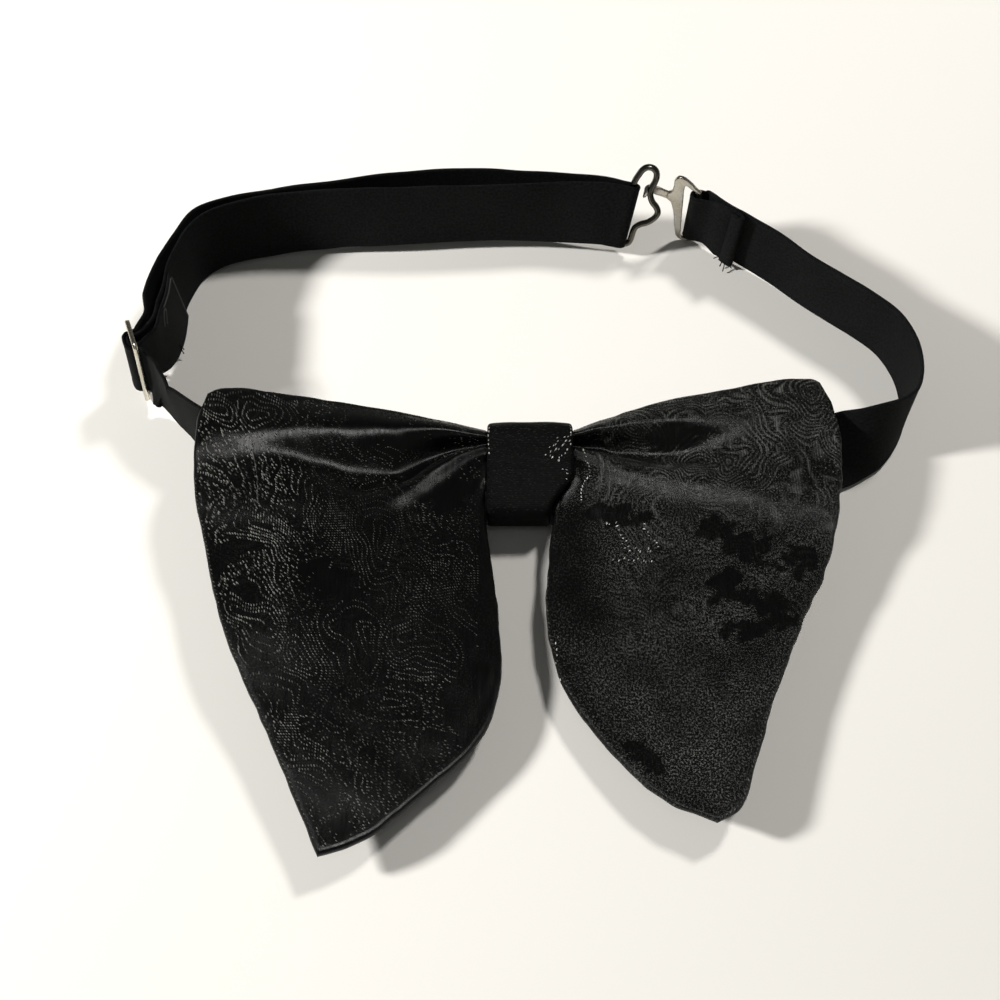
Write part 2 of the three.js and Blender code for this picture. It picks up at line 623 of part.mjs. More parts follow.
const pieces = [
  ["bow_wings", bowGeometry(), brocade],
  ["knot_band", bandGeometry(), plainCloth],
  ["neck_strap", ribbonGeometry(strapLine, STRAP_WALL), webbing],
  ["slider", sliderGeometry(), nickel],
  ["eye", eyeGeometry(), nickel],
  ["hook", hookGeometry(), nickel],
];

const bowTie = new THREE.Group();
bowTie.name = "oversized_bow_tie";
bowTie.position.set(-BOX_MIDDLE_X, -BOX_MIDDLE_Y, 0);
for (const [name, geometry, material] of pieces) {
  const mesh = new THREE.Mesh(geometry, material);
  mesh.name = name;
  bowTie.add(mesh);
}

export default bowTie;
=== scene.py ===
# %% [markdown]
# # Oversized bow tie
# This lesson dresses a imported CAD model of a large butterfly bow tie. The bow is one panel of black brocade,
# gathered through a knot band and worn on a narrow woven strap with a slider, an eye and a hook. The CAD
# solids give the sizes and the places. Blender adds the sharper folds, the woven figures, the stitches and
# the shine of the metal.

import math

import bmesh
import bpy
import numpy as np
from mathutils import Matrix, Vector
from mathutils.bvhtree import BVHTree
from mathutils.geometry import barycentric_transform, tessellate_polygon


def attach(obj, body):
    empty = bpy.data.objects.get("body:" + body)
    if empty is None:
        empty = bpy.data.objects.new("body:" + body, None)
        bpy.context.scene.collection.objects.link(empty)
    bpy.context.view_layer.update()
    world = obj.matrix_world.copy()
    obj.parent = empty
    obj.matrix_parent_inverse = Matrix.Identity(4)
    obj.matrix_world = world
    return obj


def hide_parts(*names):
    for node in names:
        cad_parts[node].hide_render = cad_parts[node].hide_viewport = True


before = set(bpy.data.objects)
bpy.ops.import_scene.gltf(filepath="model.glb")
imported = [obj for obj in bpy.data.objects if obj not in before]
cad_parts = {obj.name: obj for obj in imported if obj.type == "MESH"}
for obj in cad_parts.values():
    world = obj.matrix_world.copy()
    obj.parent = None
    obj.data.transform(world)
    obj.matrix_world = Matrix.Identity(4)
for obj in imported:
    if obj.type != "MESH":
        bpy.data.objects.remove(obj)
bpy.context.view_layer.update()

# %% [markdown]
# ## Numbers
# All tables below are in millimetres, measured from the middle of the knot. One function turns such points
# into the frame's metres, so that the tables stay readable. Another puts every object into the scene.

# %% Shared numbers
MM = 0.001
BOX_MIDDLE = np.array([-3.08, 2.2, 0.0])
SEED = 7
random = np.random.default_rng(SEED)


def in_frame(points):
    return (np.asarray(points, float) - BOX_MIDDLE) * MM


def add_object(name, data):
    made = bpy.data.objects.new(name, data)
    bpy.context.collection.objects.link(made)
    return made


# %% [markdown]
# ## Camera
# The photograph looks down at the bow from its tips at an angle of sixty degrees. A short lens close to the
# cloth gives the wings their strong perspective.

# %% Camera
CAMERA_AT = (-7.5, -141.5, 242.49)
CAMERA_TILT = 30
LENS = 39.6

camera_data = bpy.data.cameras.new("camera")
camera_data.lens = LENS
camera_data.sensor_width = 36
camera = add_object("camera", camera_data)
camera.location = in_frame(CAMERA_AT)
camera.rotation_euler = (math.radians(CAMERA_TILT), 0, 0)
bpy.context.scene.camera = camera

# %% [markdown]
# ## Light and floor
# The bow lies on a white table. A low lamp on the left draws the shadows to the right, and one behind the
# ring draws the shadows to the front. Both are kept out of reflections, as screened lamps would be. Only a
# soft lamp overhead is mirrored, by the near side of every ridge. A pale sky fills the shadows. It is darker
# overhead, so that the flat cloth doesn't mirror it. The plain tone curve keeps the table white and the cloth
# black, as a photograph does.

# %% Light and floor
MAP_RANGE = ("From Min", "From Max", "To Min", "To Max")
# How far up one looks, from 0 to 1, and the sky's strength there
HORIZON, OVERHEAD = (0.1, 0.18), (0.85, 0.042)
TABLE_REACH = 2.5
TABLE_DROP = 0.0002

world = bpy.data.worlds.new("soft sky")
bpy.context.scene.world = world
world.use_nodes = True
sky = world.node_tree.nodes["Background"]
sky.inputs["Color"].default_value = (0.97, 0.97, 0.92, 1)
direction = world.node_tree.nodes.new("ShaderNodeTexCoord")
height = world.node_tree.nodes.new("ShaderNodeSeparateXYZ")
dimming = world.node_tree.nodes.new("ShaderNodeMapRange")
for name, number in zip(MAP_RANGE, (HORIZON[0], OVERHEAD[0], HORIZON[1], OVERHEAD[1])):
    dimming.inputs[name].default_value = number
world.node_tree.links.new(direction.outputs["Generated"], height.inputs["Vector"])
world.node_tree.links.new(height.outputs["Z"], dimming.inputs["Value"])
world.node_tree.links.new(dimming.outputs["Result"], sky.inputs["Strength"])
bpy.context.scene.view_settings.view_transform = "Standard"


def lamp(name, place, size, power, colour):
    """A round lamp that looks at the middle of the part."""
    light = bpy.data.lights.new(name, "AREA")
    light.shape = "DISK"
    light.size = size
    light.energy = power
    light.color = colour
    holder = add_object(name, light)
    holder.location = place
    holder.rotation_euler = (-Vector(place)).to_track_quat("-Z", "Y").to_euler()
    return holder


window = lamp("window", (-0.88, 0.03, 0.47), size=0.11, power=15.5, colour=(1.0, 0.98, 0.95))
window.visible_glossy = False
back_lamp = lamp("back lamp", (0.43, 0.53, 0.75), size=0.145, power=6.0, colour=(1.0, 0.965, 0.93))
back_lamp.visible_glossy = False
ceiling = lamp("ceiling", (0.03, -0.2, 0.72), size=0.25, power=2.3, colour=(1.0, 0.99, 0.97))
ceiling.visible_diffuse = False

corners = [(x * TABLE_REACH, y * TABLE_REACH, -TABLE_DROP) for x, y in ((-1, -1), (1, -1), (1, 1), (-1, 1))]
floor_mesh = bpy.data.meshes.new("table")
floor_mesh.from_pydata(corners, [], [(0, 1, 2, 3)])
floor = add_object("table", floor_mesh)

# %% [markdown]
# ## Materials
# Every finish is made of shader nodes, because the script reads no pictures. A small helper starts a
# material and adds nodes to it, so each finish below only says what is special about it.

# %% Material helper


def new_node(tree, kind, **values):
    """A node of that kind. Each value is a setting of the node, or else the constant of an input."""
    made = tree.nodes.new(kind)
    for key, value in values.items():
        if hasattr(made, key):
            setattr(made, key, value)
        else:
            made.inputs[key.replace("_", " ")].default_value = value
    return made


class Finish:
    """A material with a Principled shader and short ways to add nodes to it."""

    def __init__(self, name, colour, roughness, **sockets):
        self.material = bpy.data.materials.new(name)
        self.material.use_nodes = True
        self.tree = self.material.node_tree
        self.shader = self.tree.nodes["Principled BSDF"]
        self.shader.inputs["Base Color"].default_value = (*colour, 1)
        self.shader.inputs["Roughness"].default_value = roughness
        for socket, value in sockets.items():
            self.shader.inputs[socket.replace("_", " ")].default_value = value

    def node(self, kind, **values):
        return new_node(self.tree, kind, **values)

    def link(self, source, target):
        self.tree.links.new(source, target)

    def maths(self, operation, a, b=None, clamp=False):
        made = self.node("ShaderNodeMath", operation=operation)
        made.use_clamp = clamp
        for value, socket in zip((a, b), made.inputs):
            if value is None:
                continue
            if isinstance(value, (int, float)):
                socket.default_value = value
            else:
                self.link(value, socket)
        return made.outputs[0]

    def plus(self, a, b):
        return self.maths("ADD", a, b)

    def times(self, a, b, clamp=False):
        return self.maths("MULTIPLY", a, b, clamp)

    def ramp(self, value, low, high, to_low, to_high):
        """Turns the range from low to high into the one from to_low to to_high."""
        made = self.node("ShaderNodeMapRange", **dict(zip(MAP_RANGE, (low, high, to_low, to_high))))
        self.link(value, made.inputs["Value"])
        return made.outputs["Result"]

    def noise(self, coordinates, scale, detail=2.0):
        made = self.node("ShaderNodeTexNoise", Scale=scale, Detail=detail)
        self.link(coordinates, made.inputs["Vector"])
        return made.outputs["Fac"]

    def wave(self, coordinates, scale, direction="X", distortion=0.0):
        made = self.node("ShaderNodeTexWave", bands_direction=direction, Scale=scale, Distortion=distortion)
        self.link(coordinates, made.inputs["Vector"])
        return made.outputs["Fac"]

    def stretched(self, coordinates, x, y):
        """Coordinates on which a pattern is drawn out where x or y is below 1."""
        made = self.node("ShaderNodeMapping")
        made.inputs["Scale"].default_value = (x, y, 1)
        self.link(coordinates, made.inputs["Vector"])
        return made.outputs["Vector"]

    def cloth_uv(self):
        return self.node("ShaderNodeUVMap", uv_map="cloth").outputs["UV"]

    def place(self):
        return self.node("ShaderNodeTexCoord").outputs["Object"]

    def attribute(self, name):
        return self.node("ShaderNodeAttribute", attribute_name=name).outputs["Fac"]

    def bump(self, height, strength, distance, after=None):
        """Relief from a height, on top of the relief that comes before it."""
        made = self.node("ShaderNodeBump", Strength=strength, Distance=distance)
        self.link(height, made.inputs["Height"])
        if after is not None:
            self.link(after, made.inputs["Normal"])
        return made.outputs["Normal"]

    def colour_between(self, share, dark, light):
        """Colours the material from dark to light by a share from 0 to 1."""
        made = self.node("ShaderNodeMix", data_type="RGBA")
        made.inputs["A"].default_value = (*dark, 1)
        made.inputs["B"].default_value = (*light, 1)
        self.link(share, made.inputs["Factor"])
        self.link(made.outputs["Result"], self.shader.inputs["Base Color"])


# %% [markdown]
# ## Brocade
# The bow's cloth is a black satin with figures woven in the same black. Its ground floats long threads
# across the ridges, so a ridge's shine is drawn out along it: that is what an anisotropic highlight does. The
# figured side of the weave is dull, and its floats follow rings like the ones on a map. The mesh carries
# three numbers: how grainy a place is, with a painted sheen that lightens the lower right wing, how strongly
# the rings show there, and where the satin stays plain.

# %% Brocade finish
RING_PITCH = 0.00125
RING_CELLS = 58.0
RING_DRIFT = 0.019

brocade = Finish("brocade", (0.002, 0.002, 0.002), 0.34, Specular_IOR_Level=0.38, Anisotropic=0.86)
uv = brocade.cloth_uv()
across_floats = brocade.node("ShaderNodeTangent", direction_type="UV_MAP", uv_map="cloth")
brocade.link(across_floats.outputs["Tangent"], brocade.shader.inputs["Tangent"])
jagged = brocade.ramp(brocade.noise(uv, 420, 4.0), 0.3, 0.7, -0.45, 0.45)
figured = brocade.ramp(brocade.plus(brocade.attribute("plain"), jagged), 0.3, 0.75, 1.0, 0.1)
grain = brocade.times(brocade.attribute("grain"), figured)
ringed = brocade.times(brocade.attribute("ringed"), figured)
streaks = brocade.noise(brocade.stretched(uv, 1.0, 0.1), 1500, 2.0)
specks = brocade.noise(uv, 2300, 2.0)
patches = brocade.noise(uv, 90, 3.0)

drift = brocade.node("ShaderNodeTexNoise", Scale=70.0, Detail=1.0)
brocade.link(uv, drift.inputs["Vector"])
shift = brocade.node("ShaderNodeVectorMath", operation="MULTIPLY_ADD")
shift.inputs[1].default_value = (RING_DRIFT, RING_DRIFT, 0)
brocade.link(drift.outputs["Color"], shift.inputs[0])
brocade.link(uv, shift.inputs[2])
centres = brocade.node("ShaderNodeTexVoronoi", Scale=RING_CELLS)
brocade.link(shift.outputs["Vector"], centres.inputs["Vector"])
ring_turns = brocade.times(centres.outputs["Distance"], 2 * math.pi / RING_CELLS / RING_PITCH)
rings = brocade.ramp(brocade.maths("SINE", ring_turns), 0.0, 0.9, 0, 1)
dashes = brocade.ramp(brocade.wave(uv, 480, "X", 3.0), 0.2, 0.7, 0.35, 1)
breaks = brocade.ramp(brocade.noise(uv, 330, 3.0), 0.4, 0.6, 0.15, 1.0)
floats = brocade.times(brocade.times(brocade.times(rings, dashes), breaks), ringed)

# Lighter specks of the dull weave; in the lower right wing they are partly a painted sheen.
grain_specks_and_sheen = brocade.times(grain, brocade.ramp(specks, 0.5, 0.7, 0.0, 1.0))
light_share = brocade.plus(brocade.times(floats, 0.7), brocade.times(grain_specks_and_sheen, 0.9))
light_share = brocade.times(light_share, brocade.ramp(patches, 0.35, 0.65, 0.3, 1.3), True)
brocade.colour_between(light_share, (0.001, 0.0012, 0.0011), (0.1, 0.102, 0.096))
roughness = brocade.plus(brocade.ramp(streaks, 0.3, 0.7, 0.28, 0.42), brocade.times(grain, 0.08))
brocade.link(roughness, brocade.shader.inputs["Roughness"])
soft = brocade.bump(streaks, 0.45, 0.0001)
relief = brocade.plus(floats, brocade.times(grain_specks_and_sheen, 0.8))
brocade.link(brocade.bump(relief, 0.8, 0.00016, soft), brocade.shader.inputs["Normal"])

# %% [markdown]
# ## Band cloth, strap and threads
# The knot band is cut from a plainer part of the same cloth, with the threads running across it. The strap is
# a matt ribbon with fine ribs. Figures and seams are sewn or woven in a glossier thread.

# %% Plainer cloths and threads


def woven(name, dark, light, roughness, rib_scale, rib_direction, depth, **sockets):
    cloth = Finish(name, dark, roughness, **sockets)
    coordinates = cloth.cloth_uv()
    ribs = cloth.wave(coordinates, rib_scale, rib_direction, 0.6)
    fibres = cloth.noise(coordinates, 1400, 3.0)
    patches = cloth.noise(coordinates, 45, 3.0)
    shade = cloth.plus(cloth.ramp(patches, 0.3, 0.7, 0.0, 0.35), cloth.ramp(fibres, 0.35, 0.65, 0, 0.65))
    cloth.colour_between(shade, dark, light)
    height = cloth.plus(ribs, cloth.times(fibres, 1.2))
    cloth.link(cloth.bump(height, 0.5, depth), cloth.shader.inputs["Normal"])
    return cloth.material


band_cloth = woven("band cloth", (0.0013, 0.0015, 0.0015), (0.0048, 0.0052, 0.005), roughness=0.6,
                   rib_scale=700, rib_direction="Y", depth=0.00008, Specular_IOR_Level=0.08)
ribbon = woven("strap ribbon", (0.0022, 0.0025, 0.0026), (0.0105, 0.0112, 0.0115), roughness=0.8,
               rib_scale=1700, rib_direction="X", depth=0.00012, Specular_IOR_Level=0.1)


def thread(name, dark, bright, roughness, specular):
    """Thread between two greys, by a stitch attribute: its own tone, with a painted glint on figures and
    floats.
    """
    made = Finish(name, (dark,) * 3, roughness, Specular_IOR_Level=specular)
    made.colour_between(made.attribute("tone_and_glint"), (dark, dark * 1.04, dark), (bright, bright, bright * 0.94))
    twist = made.wave(made.place(), 2600, "DIAGONAL", 1.0)
    made.link(made.bump(twist, 0.4, 0.00006), made.shader.inputs["Normal"])
    return made.material


figure_thread = thread("figure thread", dark=0.006, bright=0.16, roughness=0.4, specular=0.5)
fine_thread = thread("fine figure thread", dark=0.006, bright=0.12, roughness=0.42, specular=0.4)
seam_thread = thread("seam thread", dark=0.004, bright=0.022, roughness=0.5, specular=0.4)
# The bright thread's pale colour is a painted glint.
painted_glint_thread = thread("painted glint thread", dark=0.05, bright=0.6, roughness=0.3, specular=0.9)
hem_thread = thread("hem thread", dark=0.06, bright=0.12, roughness=0.7, specular=0.2)

# %% [markdown]
# ## Metal
# The hook, the eye and the slider are plated with nickel. Plating is never perfect, so a fine noise varies
# its roughness, and broad cloudy patches make it a little warmer in places.

# %% Nickel finish


def nickel(name, colour, roughness):
    metal = Finish(name, colour, roughness, Metallic=1.0)
    place = metal.place()
    clouds = metal.noise(place, 180, 3.0)
    scratches = metal.noise(place, 2200, 4.0)
    warm = tuple(c * k for c, k in zip(colour, (0.9, 0.84, 0.76)))
    metal.colour_between(metal.ramp(clouds, 0.35, 0.65, 0, 1), warm, colour)
    uneven = metal.ramp(scratches, 0.3, 0.7, roughness - 0.06, roughness + 0.1)
    metal.link(uneven, metal.shader.inputs["Roughness"])
    metal.link(metal.bump(scratches, 0.15, 0.00005), metal.shader.inputs["Normal"])
    return metal.material


# The eye's wire is coloured far darker than the plates: painted shade for the dark surroundings it mirrors.
shaded_wire_nickel = nickel("shaded wire nickel", (0.13, 0.127, 0.115), roughness=0.18)
plate_nickel = nickel("plate nickel", (0.52, 0.51, 0.475), roughness=0.28)
slider_nickel = nickel("slider nickel", (0.7, 0.69, 0.61), roughness=0.25)

table = Finish("table", (0.84, 0.83, 0.795), 0.6)
table.link(table.bump(table.noise(table.place(), 40, 4.0), 0.05, 0.001), table.shader.inputs["Normal"])
floor.data.materials.append(table.material)

# %% [markdown]
# ## Meshes from grids
# Cloth is easiest to make as a grid of points, row by row. The next helpers lay smooth curves through the
# points of a table, close a grid into a thin sheet with a rounded edge, and store the cloth's own flat
# coordinates, so that the weave follows the folds.

# %% Curves through points
CURVE_STEPS = 40


def spline_at(points, t):
    """Points of a centripetal Catmull-Rom curve, t from 0 at its first point to 1 at its last."""
    p = np.asarray(points, float)
    last = len(p) - 1
    s = np.clip(np.atleast_1d(t), 0, 1) * last
    i = np.minimum(s.astype(int), last - 1)
    w = (s - i)[:, None]
    whole = np.vstack([2 * p[0] - p[1], p, 2 * p[-1] - p[-2]])
    p0, p1, p2, p3 = (whole[i + k] for k in range(4))

    def step(a, b):
        return np.maximum(np.linalg.norm(b - a, axis=1) ** 0.5, 1e-4)[:, None]

    d0, d1, d2 = step(p0, p1), step(p1, p2), step(p2, p3)
    m1 = ((p1 - p0) / d0 - (p2 - p0) / (d0 + d1) + (p2 - p1) / d1) * d1
    m2 = ((p2 - p1) / d1 - (p3 - p1) / (d1 + d2) + (p3 - p2) / d2) * d1
    return p1 + w * m1 + w**2 * (3 * (p2 - p1) - 2 * m1 - m2) + w**3 * (2 * (p1 - p2) + m1 + m2)


def lengths_along(points):
    steps = np.linalg.norm(np.diff(points, axis=0), axis=1)
    return np.concatenate([[0], np.cumsum(steps)])


def between(points, run, stops):
    """Points at those lengths along a line of points."""
    return np.stack([np.interp(stops, run, values) for values in points.T], 1)


def spline_by_length(points, share):
    """Points of the curve at shares of its length."""
    t = np.linspace(0, 1, CURVE_STEPS * (len(points) - 1) + 1)
    run = lengths_along(spline_at(points, t))
    return spline_at(points, np.interp(np.asarray(share) * run[-1], run, t))


def evenly(points, spacing):
    """Points of the curve, that far apart."""
    fine = spline_at(points, np.linspace(0, 1, CURVE_STEPS * (len(points) - 1) + 1))
    run = lengths_along(fine)
    return between(fine, run, np.linspace(0, run[-1], max(2, int(run[-1] / spacing) + 1)))


# %% Directions and smooth values


def unit(vectors):
    return vectors / np.maximum(np.linalg.norm(vectors, axis=-1, keepdims=True), 1e-9)


def smooth_value(at, value, x):
    """Smooth curve through (at, value) pairs that never overshoots them."""
    at, value = np.asarray(at, float), np.asarray(value, float)
    chord = np.diff(value) / np.diff(at)
    slope = np.concatenate([chord[:1], np.zeros(len(at) - 2), chord[-1:]])
    product = chord[:-1] * chord[1:]
    total = np.where(product > 0, chord[:-1] + chord[1:], 1)
    slope[1:-1] = np.where(product > 0, 2 * product / total, 0)
    i = np.clip(np.searchsorted(at, x, side="left") - 1, 0, len(at) - 2)
    span = at[i + 1] - at[i]
    t = np.clip((x - at[i]) / span, 0, 1)
    rise = value[i + 1] - value[i]
    bend = slope[i] * t * (1 - t) ** 2 - slope[i + 1] * t * t * (1 - t)
    return value[i] + rise * t * t * (3 - 2 * t) + span * bend


# %% Pieces from points


def add_attribute(mesh, key, values):
    """Stores a number or a vector for every point of a mesh."""
    values = np.asarray(values, np.float32)
    kind, field = ("FLOAT_VECTOR", "vector") if values.ndim == 2 else ("FLOAT", "value")
    mesh.attributes.new(key, kind, "POINT").data.foreach_set(field, values.ravel())


def new_mesh(name, points, edges=(), faces=()):
    """A mesh in the frame from points in millimetres."""
    mesh = bpy.data.meshes.new(name)
    mesh.from_pydata(in_frame(points).tolist(), edges, faces)
    return mesh


def cloth_piece(name, points, faces, material, uv, **attributes):
    """A piece of cloth. uv and the attributes hold one value a point."""
    mesh = new_mesh(name, points, faces=faces.tolist())
    mesh.materials.append(material)
    mesh.shade_smooth()
    layer = mesh.uv_layers.new(name="cloth")
    corners = np.empty(len(mesh.loops), int)
    mesh.loops.foreach_get("vertex_index", corners)
    layer.data.foreach_set("uv", (uv * MM)[corners].ravel().astype(np.float32))
    for key, values in attributes.items():
        add_attribute(mesh, key, values)
    return add_object(name, mesh)


# %% Sheets from grids


def quads(index, wrapped=False):
    """Faces of a grid of vertex numbers."""
    if wrapped:
        index = np.vstack([index, index[:1]])
    return np.stack([index[:-1, :-1], index[1:, :-1], index[1:, 1:], index[:-1, 1:]], -1).reshape(-1, 4)


def closed_sheet(middle, offset, wrapped=False):
    """Points, faces and the grid place of each point of a thin sheet. It lies between middle + offset and
    middle - offset, and offset is nothing at its borders, where the two sides meet. A wrapped sheet's last
    row meets its first one."""
    rows, columns = middle.shape[:2]
    inner = np.ones((rows, columns), bool)
    inner[:, [0, -1]] = False
    if not wrapped:
        inner[[0, -1]] = False
    front = np.arange(rows * columns).reshape(rows, columns)
    back = front.copy()
    back[inner] = rows * columns + np.arange(inner.sum())
    points = np.concatenate([(middle + offset).reshape(-1, 3), (middle - offset)[inner]])
    faces = np.concatenate([quads(front, wrapped), quads(back, wrapped)[:, ::-1]])
    place = np.concatenate([front.ravel(), front[inner]])
    return points, faces, place


def count_triangles(piece):
    return sum(len(p.vertices) - 2 for p in piece.data.polygons)


def ripples(x, y, scale, seed, waves=10):
    """Soft random hills about as wide as scale, from -1 to 1 or so."""
    rng = np.random.default_rng(seed)
    total = np.zeros(np.shape(x))
    for _ in range(waves):
        turn, phase = rng.uniform(0, 2 * math.pi, 2)
        pitch = 2 * math.pi / (scale * rng.uniform(0.8, 2.2))
        total = total + np.sin(pitch * (np.cos(turn) * x + np.sin(turn) * y) + phase)
    return total / math.sqrt(waves)


# %% [markdown]
# ## The bow's panel
# The real bow is a long panel that is squeezed in the middle. Each wing is laid out from its top edge, outer
# edge and inner edge. A table gives the height of the cloth across it: a first ridge that runs out of the
# knot, the hollow in front of it, a second ridge, and the flat body that drops towards the table. The tips
# stand clear of the table, as their shadows show. They are lifted towards the camera, which keeps the
# outline.

# %% Wing tables
BAND_HALF_WIDTH = 10.7
BAND_HALF_LENGTH = 12.8
BAND_MIDDLE_Y = 2
BAND_HEIGHT = 14
GATHER_HALF_LENGTH = 10.55
KNOT_MARGIN = 0.5
TUCK = 1.2
RIM_DRAWN_IN = 5.7
SHOULDER = 0.07
SHOULDER_DROP = 0.8
BODY_AT = 0.46
FACE_AT = 0.7
TIP_LIFT = (2.2, 6)

# The columns of a fold row: reach, top, ridge at, ridge, floor at, floor, step at, step, crest at, crest,
# body, face, low
left_wing = {
    "side": -1,
    "top": [(11.2, 12.8), (32.4, 16), (59.6, 18.4), (76, 18.2), (79.4, 16)],
    "outer": [(79.4, 16), (80.7, 9), (80.2, -7.6), (76.1, -24.1), (69.3, -44.4), (58.5, -65.9),
              (46.4, -90.2)],
    "inner": [(11.2, -11.4), (10, -18.5), (7.7, -37), (7.5, -53.1), (12.4, -65.8), (24.5, -77.2),
              (36.5, -86.8), (46.4, -90.2)],
    "folds": [
        (0.0, 11, 0.13, 12.8, 0.18, 9.6, 0.21, 11.4, 0.25, 13.2, 11.3, 8.8, 6),
        (0.12, 12.4, 0.1, 14.3, 0.18, 8.8, 0.23, 11.8, 0.27, 14.4, 11.5, 9, 5.4),
        (0.2, 13.2, 0.09, 15.2, 0.2, 8.2, 0.25, 11.6, 0.29, 14.6, 11.6, 9, 4.9),
        (0.37, 15, 0.1, 17.5, 0.26, 8.8, 0.29, 11.8, 0.32, 14.6, 11.8, 9, 4.1),
        (0.49, 16.2, 0.1, 18.8, 0.25, 10.6, 0.29, 12.6, 0.33, 13.8, 12.4, 8.9, 3.6),
        (0.63, 17.8, 0.1, 19.9, 0.21, 13.6, 0.25, 14.6, 0.3, 14.8, 13.2, 8.8, 3.2),
        (0.75, 19.4, 0.11, 20.8, 0.18, 16.8, 0.21, 17, 0.28, 16.4, 14, 9, 2.9),
        (0.86, 21, 0.11, 21.5, 0.175, 18.8, 0.21, 18.2, 0.28, 16.8, 14.6, 9.1, 2.7),
        (1.0, 22.4, 0.11, 22.2, 0.17, 20, 0.21, 18.6, 0.28, 16.8, 14.8, 9, 2.5),
    ],
}

right_wing = {
    "side": 1,
    "top": [(11.2, 12.8), (32.4, 19.7), (48.5, 23.5), (72, 27), (75, 25.6)],
    "outer": [(75, 25.6), (77.2, 14.6), (76.7, 0.7), (71.3, -22.4), (63.5, -37.3), (54.2, -57.2),
              (49.3, -69.9), (44.3, -80.8), (39.5, -83)],
    "inner": [(5.5, -11.4), (4.5, -18), (3.6, -38), (5, -46.5), (7.8, -54.3), (20.9, -71.9), (30.2, -79.3),
              (39.5, -83)],
    "folds": [
        (0.0, 11, 0.11, 12.9, 0.18, 9, 0.22, 10.8, 0.28, 13.2, 11.4, 8.8, 6),
        (0.1, 11.8, 0.1, 13.8, 0.17, 7.8, 0.24, 10.4, 0.31, 13.7, 11.5, 8.6, 5.4),
        (0.2, 12.6, 0.1, 14.5, 0.2, 7.4, 0.27, 10.4, 0.34, 14, 11.5, 8.4, 4.9),
        (0.38, 13.2, 0.1, 15, 0.21, 7.4, 0.26, 10.4, 0.32, 14, 11.1, 7.8, 3.9),
        (0.55, 13.4, 0.085, 14.8, 0.2, 9.4, 0.245, 11.2, 0.3, 13.7, 10.3, 7.2, 3.2),
        (0.68, 13.6, 0.075, 14.5, 0.18, 11.8, 0.225, 12, 0.29, 13, 9.8, 6.8, 2.9),
        (0.82, 13.9, 0.08, 14.3, 0.18, 12.8, 0.225, 12.3, 0.3, 12, 9.3, 6.4, 2.7),
        (1.0, 14, 0.1, 14.1, 0.19, 13.4, 0.24, 12.6, 0.31, 11.6, 8.8, 5.8, 2.5),
    ],
}

gather_row = (0, 10.5, 0.14, 11.8, 0.26, 8, 0.36, 9.6, 0.48, 11.8, 11.2, 9, 6.6)

# %% Wing surface


def height_across(row, across):
    top, ridge_at, ridge, floor_at, floor, step_at, step, crest_at, crest, body, face, low = row[1:]
    body_at = max(BODY_AT, crest_at + 0.1)
    shoulder = crest - SHOULDER_DROP * (crest - body)
    at = [0, ridge_at, floor_at, step_at, crest_at, crest_at + SHOULDER, body_at, FACE_AT, 1]
    return smooth_value(at, [top, ridge, floor, step, crest, shoulder, body, face, low], across)


def band_rim(side, y):
    """How far the knot band reaches along X at y. Its right rim narrows towards the near end."""
    if side < 0:
        return np.full(np.shape(y), -BAND_HALF_WIDTH)
    t = np.clip(-np.asarray(y) / (BAND_HALF_LENGTH - BAND_MIDDLE_Y), 0, 1)
    return BAND_HALF_WIDTH - RIM_DRAWN_IN * t * t * (3 - 2 * t)


def wing_grid(wing, reaches, across):
    """Points of a wing's face, in rows away from the knot and columns from the top edge to the inner edge."""
    flat_edges = {k: [(x, y, 0) for x, y in wing[k]] for k in ("top", "outer", "inner")}
    top, inner = (spline_by_length(flat_edges[k], reaches) for k in ("top", "inner"))
    outer = spline_by_length(flat_edges["outer"], across)
    knot_top, knot_low = (np.array(flat_edges[k][0], float) for k in ("top", "inner"))
    corner, tip = (np.array(flat_edges["outer"][k], float) for k in (0, -1))
    knot_side = knot_top + (knot_low - knot_top) * across[:, None]
    if wing["side"] > 0:
        knot_side[:, 0] = band_rim(1, knot_side[:, 1]) + KNOT_MARGIN
    r = np.asarray(reaches)[:, None, None]
    a = np.asarray(across)[None, :, None]
    grid = top[:, None] * (1 - a) + inner[:, None] * a + knot_side[None] * (1 - r) + outer[None] * r
    corners = knot_top * (1 - r) * (1 - a) + knot_low * (1 - r) * a + corner * r * (1 - a) + tip * r * a
    grid = grid - corners
    table = np.array(wing["folds"], float)
    for i, share in enumerate(reaches):
        row = [smooth_value(table[:, 0], table[:, k], share) for k in range(table.shape[1])]
        grid[i, :, 2] = height_across([float(v) for v in row], across)
    grid[..., 0] *= wing["side"]
    lifted = smooth_value([0, BODY_AT, FACE_AT, 1], [0, 0, *TIP_LIFT], across)
    tip_lift = np.asarray(reaches)[:, None] * lifted
    to_camera = np.array(CAMERA_AT) - grid
    return grid + to_camera / to_camera[..., 2:] * tip_lift[..., None]


def gather_line(side, across):
    y = BAND_MIDDLE_Y + GATHER_HALF_LENGTH * (1 - 2 * across)
    x = np.zeros(len(across)) if side == 0 else band_rim(side, y) - side * TUCK
    return np.stack([x, y, height_across(gather_row, across)], 1)


# %% [markdown]
# ## Small folds
# The rows of a table give the large folds only. Close to the knot the cloth is gathered into small pleats
# that die out along the wing, and everywhere the cloth rises and sinks a little. These are added to the
# heights, and the borders stay close to the outline.

# %% Folded face
CLOTH = 2.2
EDGE_ROUND = 1.1
EDGE_STEPS = np.array([0, 0.0012, 0.004, 0.008, 0.014])
PLEATS = 9
PLEAT_HEIGHT = 0.08
PLEAT_REACH = 0.09
# Height, width and seed of the soft hills
HILLS = ((0.1, 18, 3), (0.03, 6, 11))
CREST_SOFTENING = 22
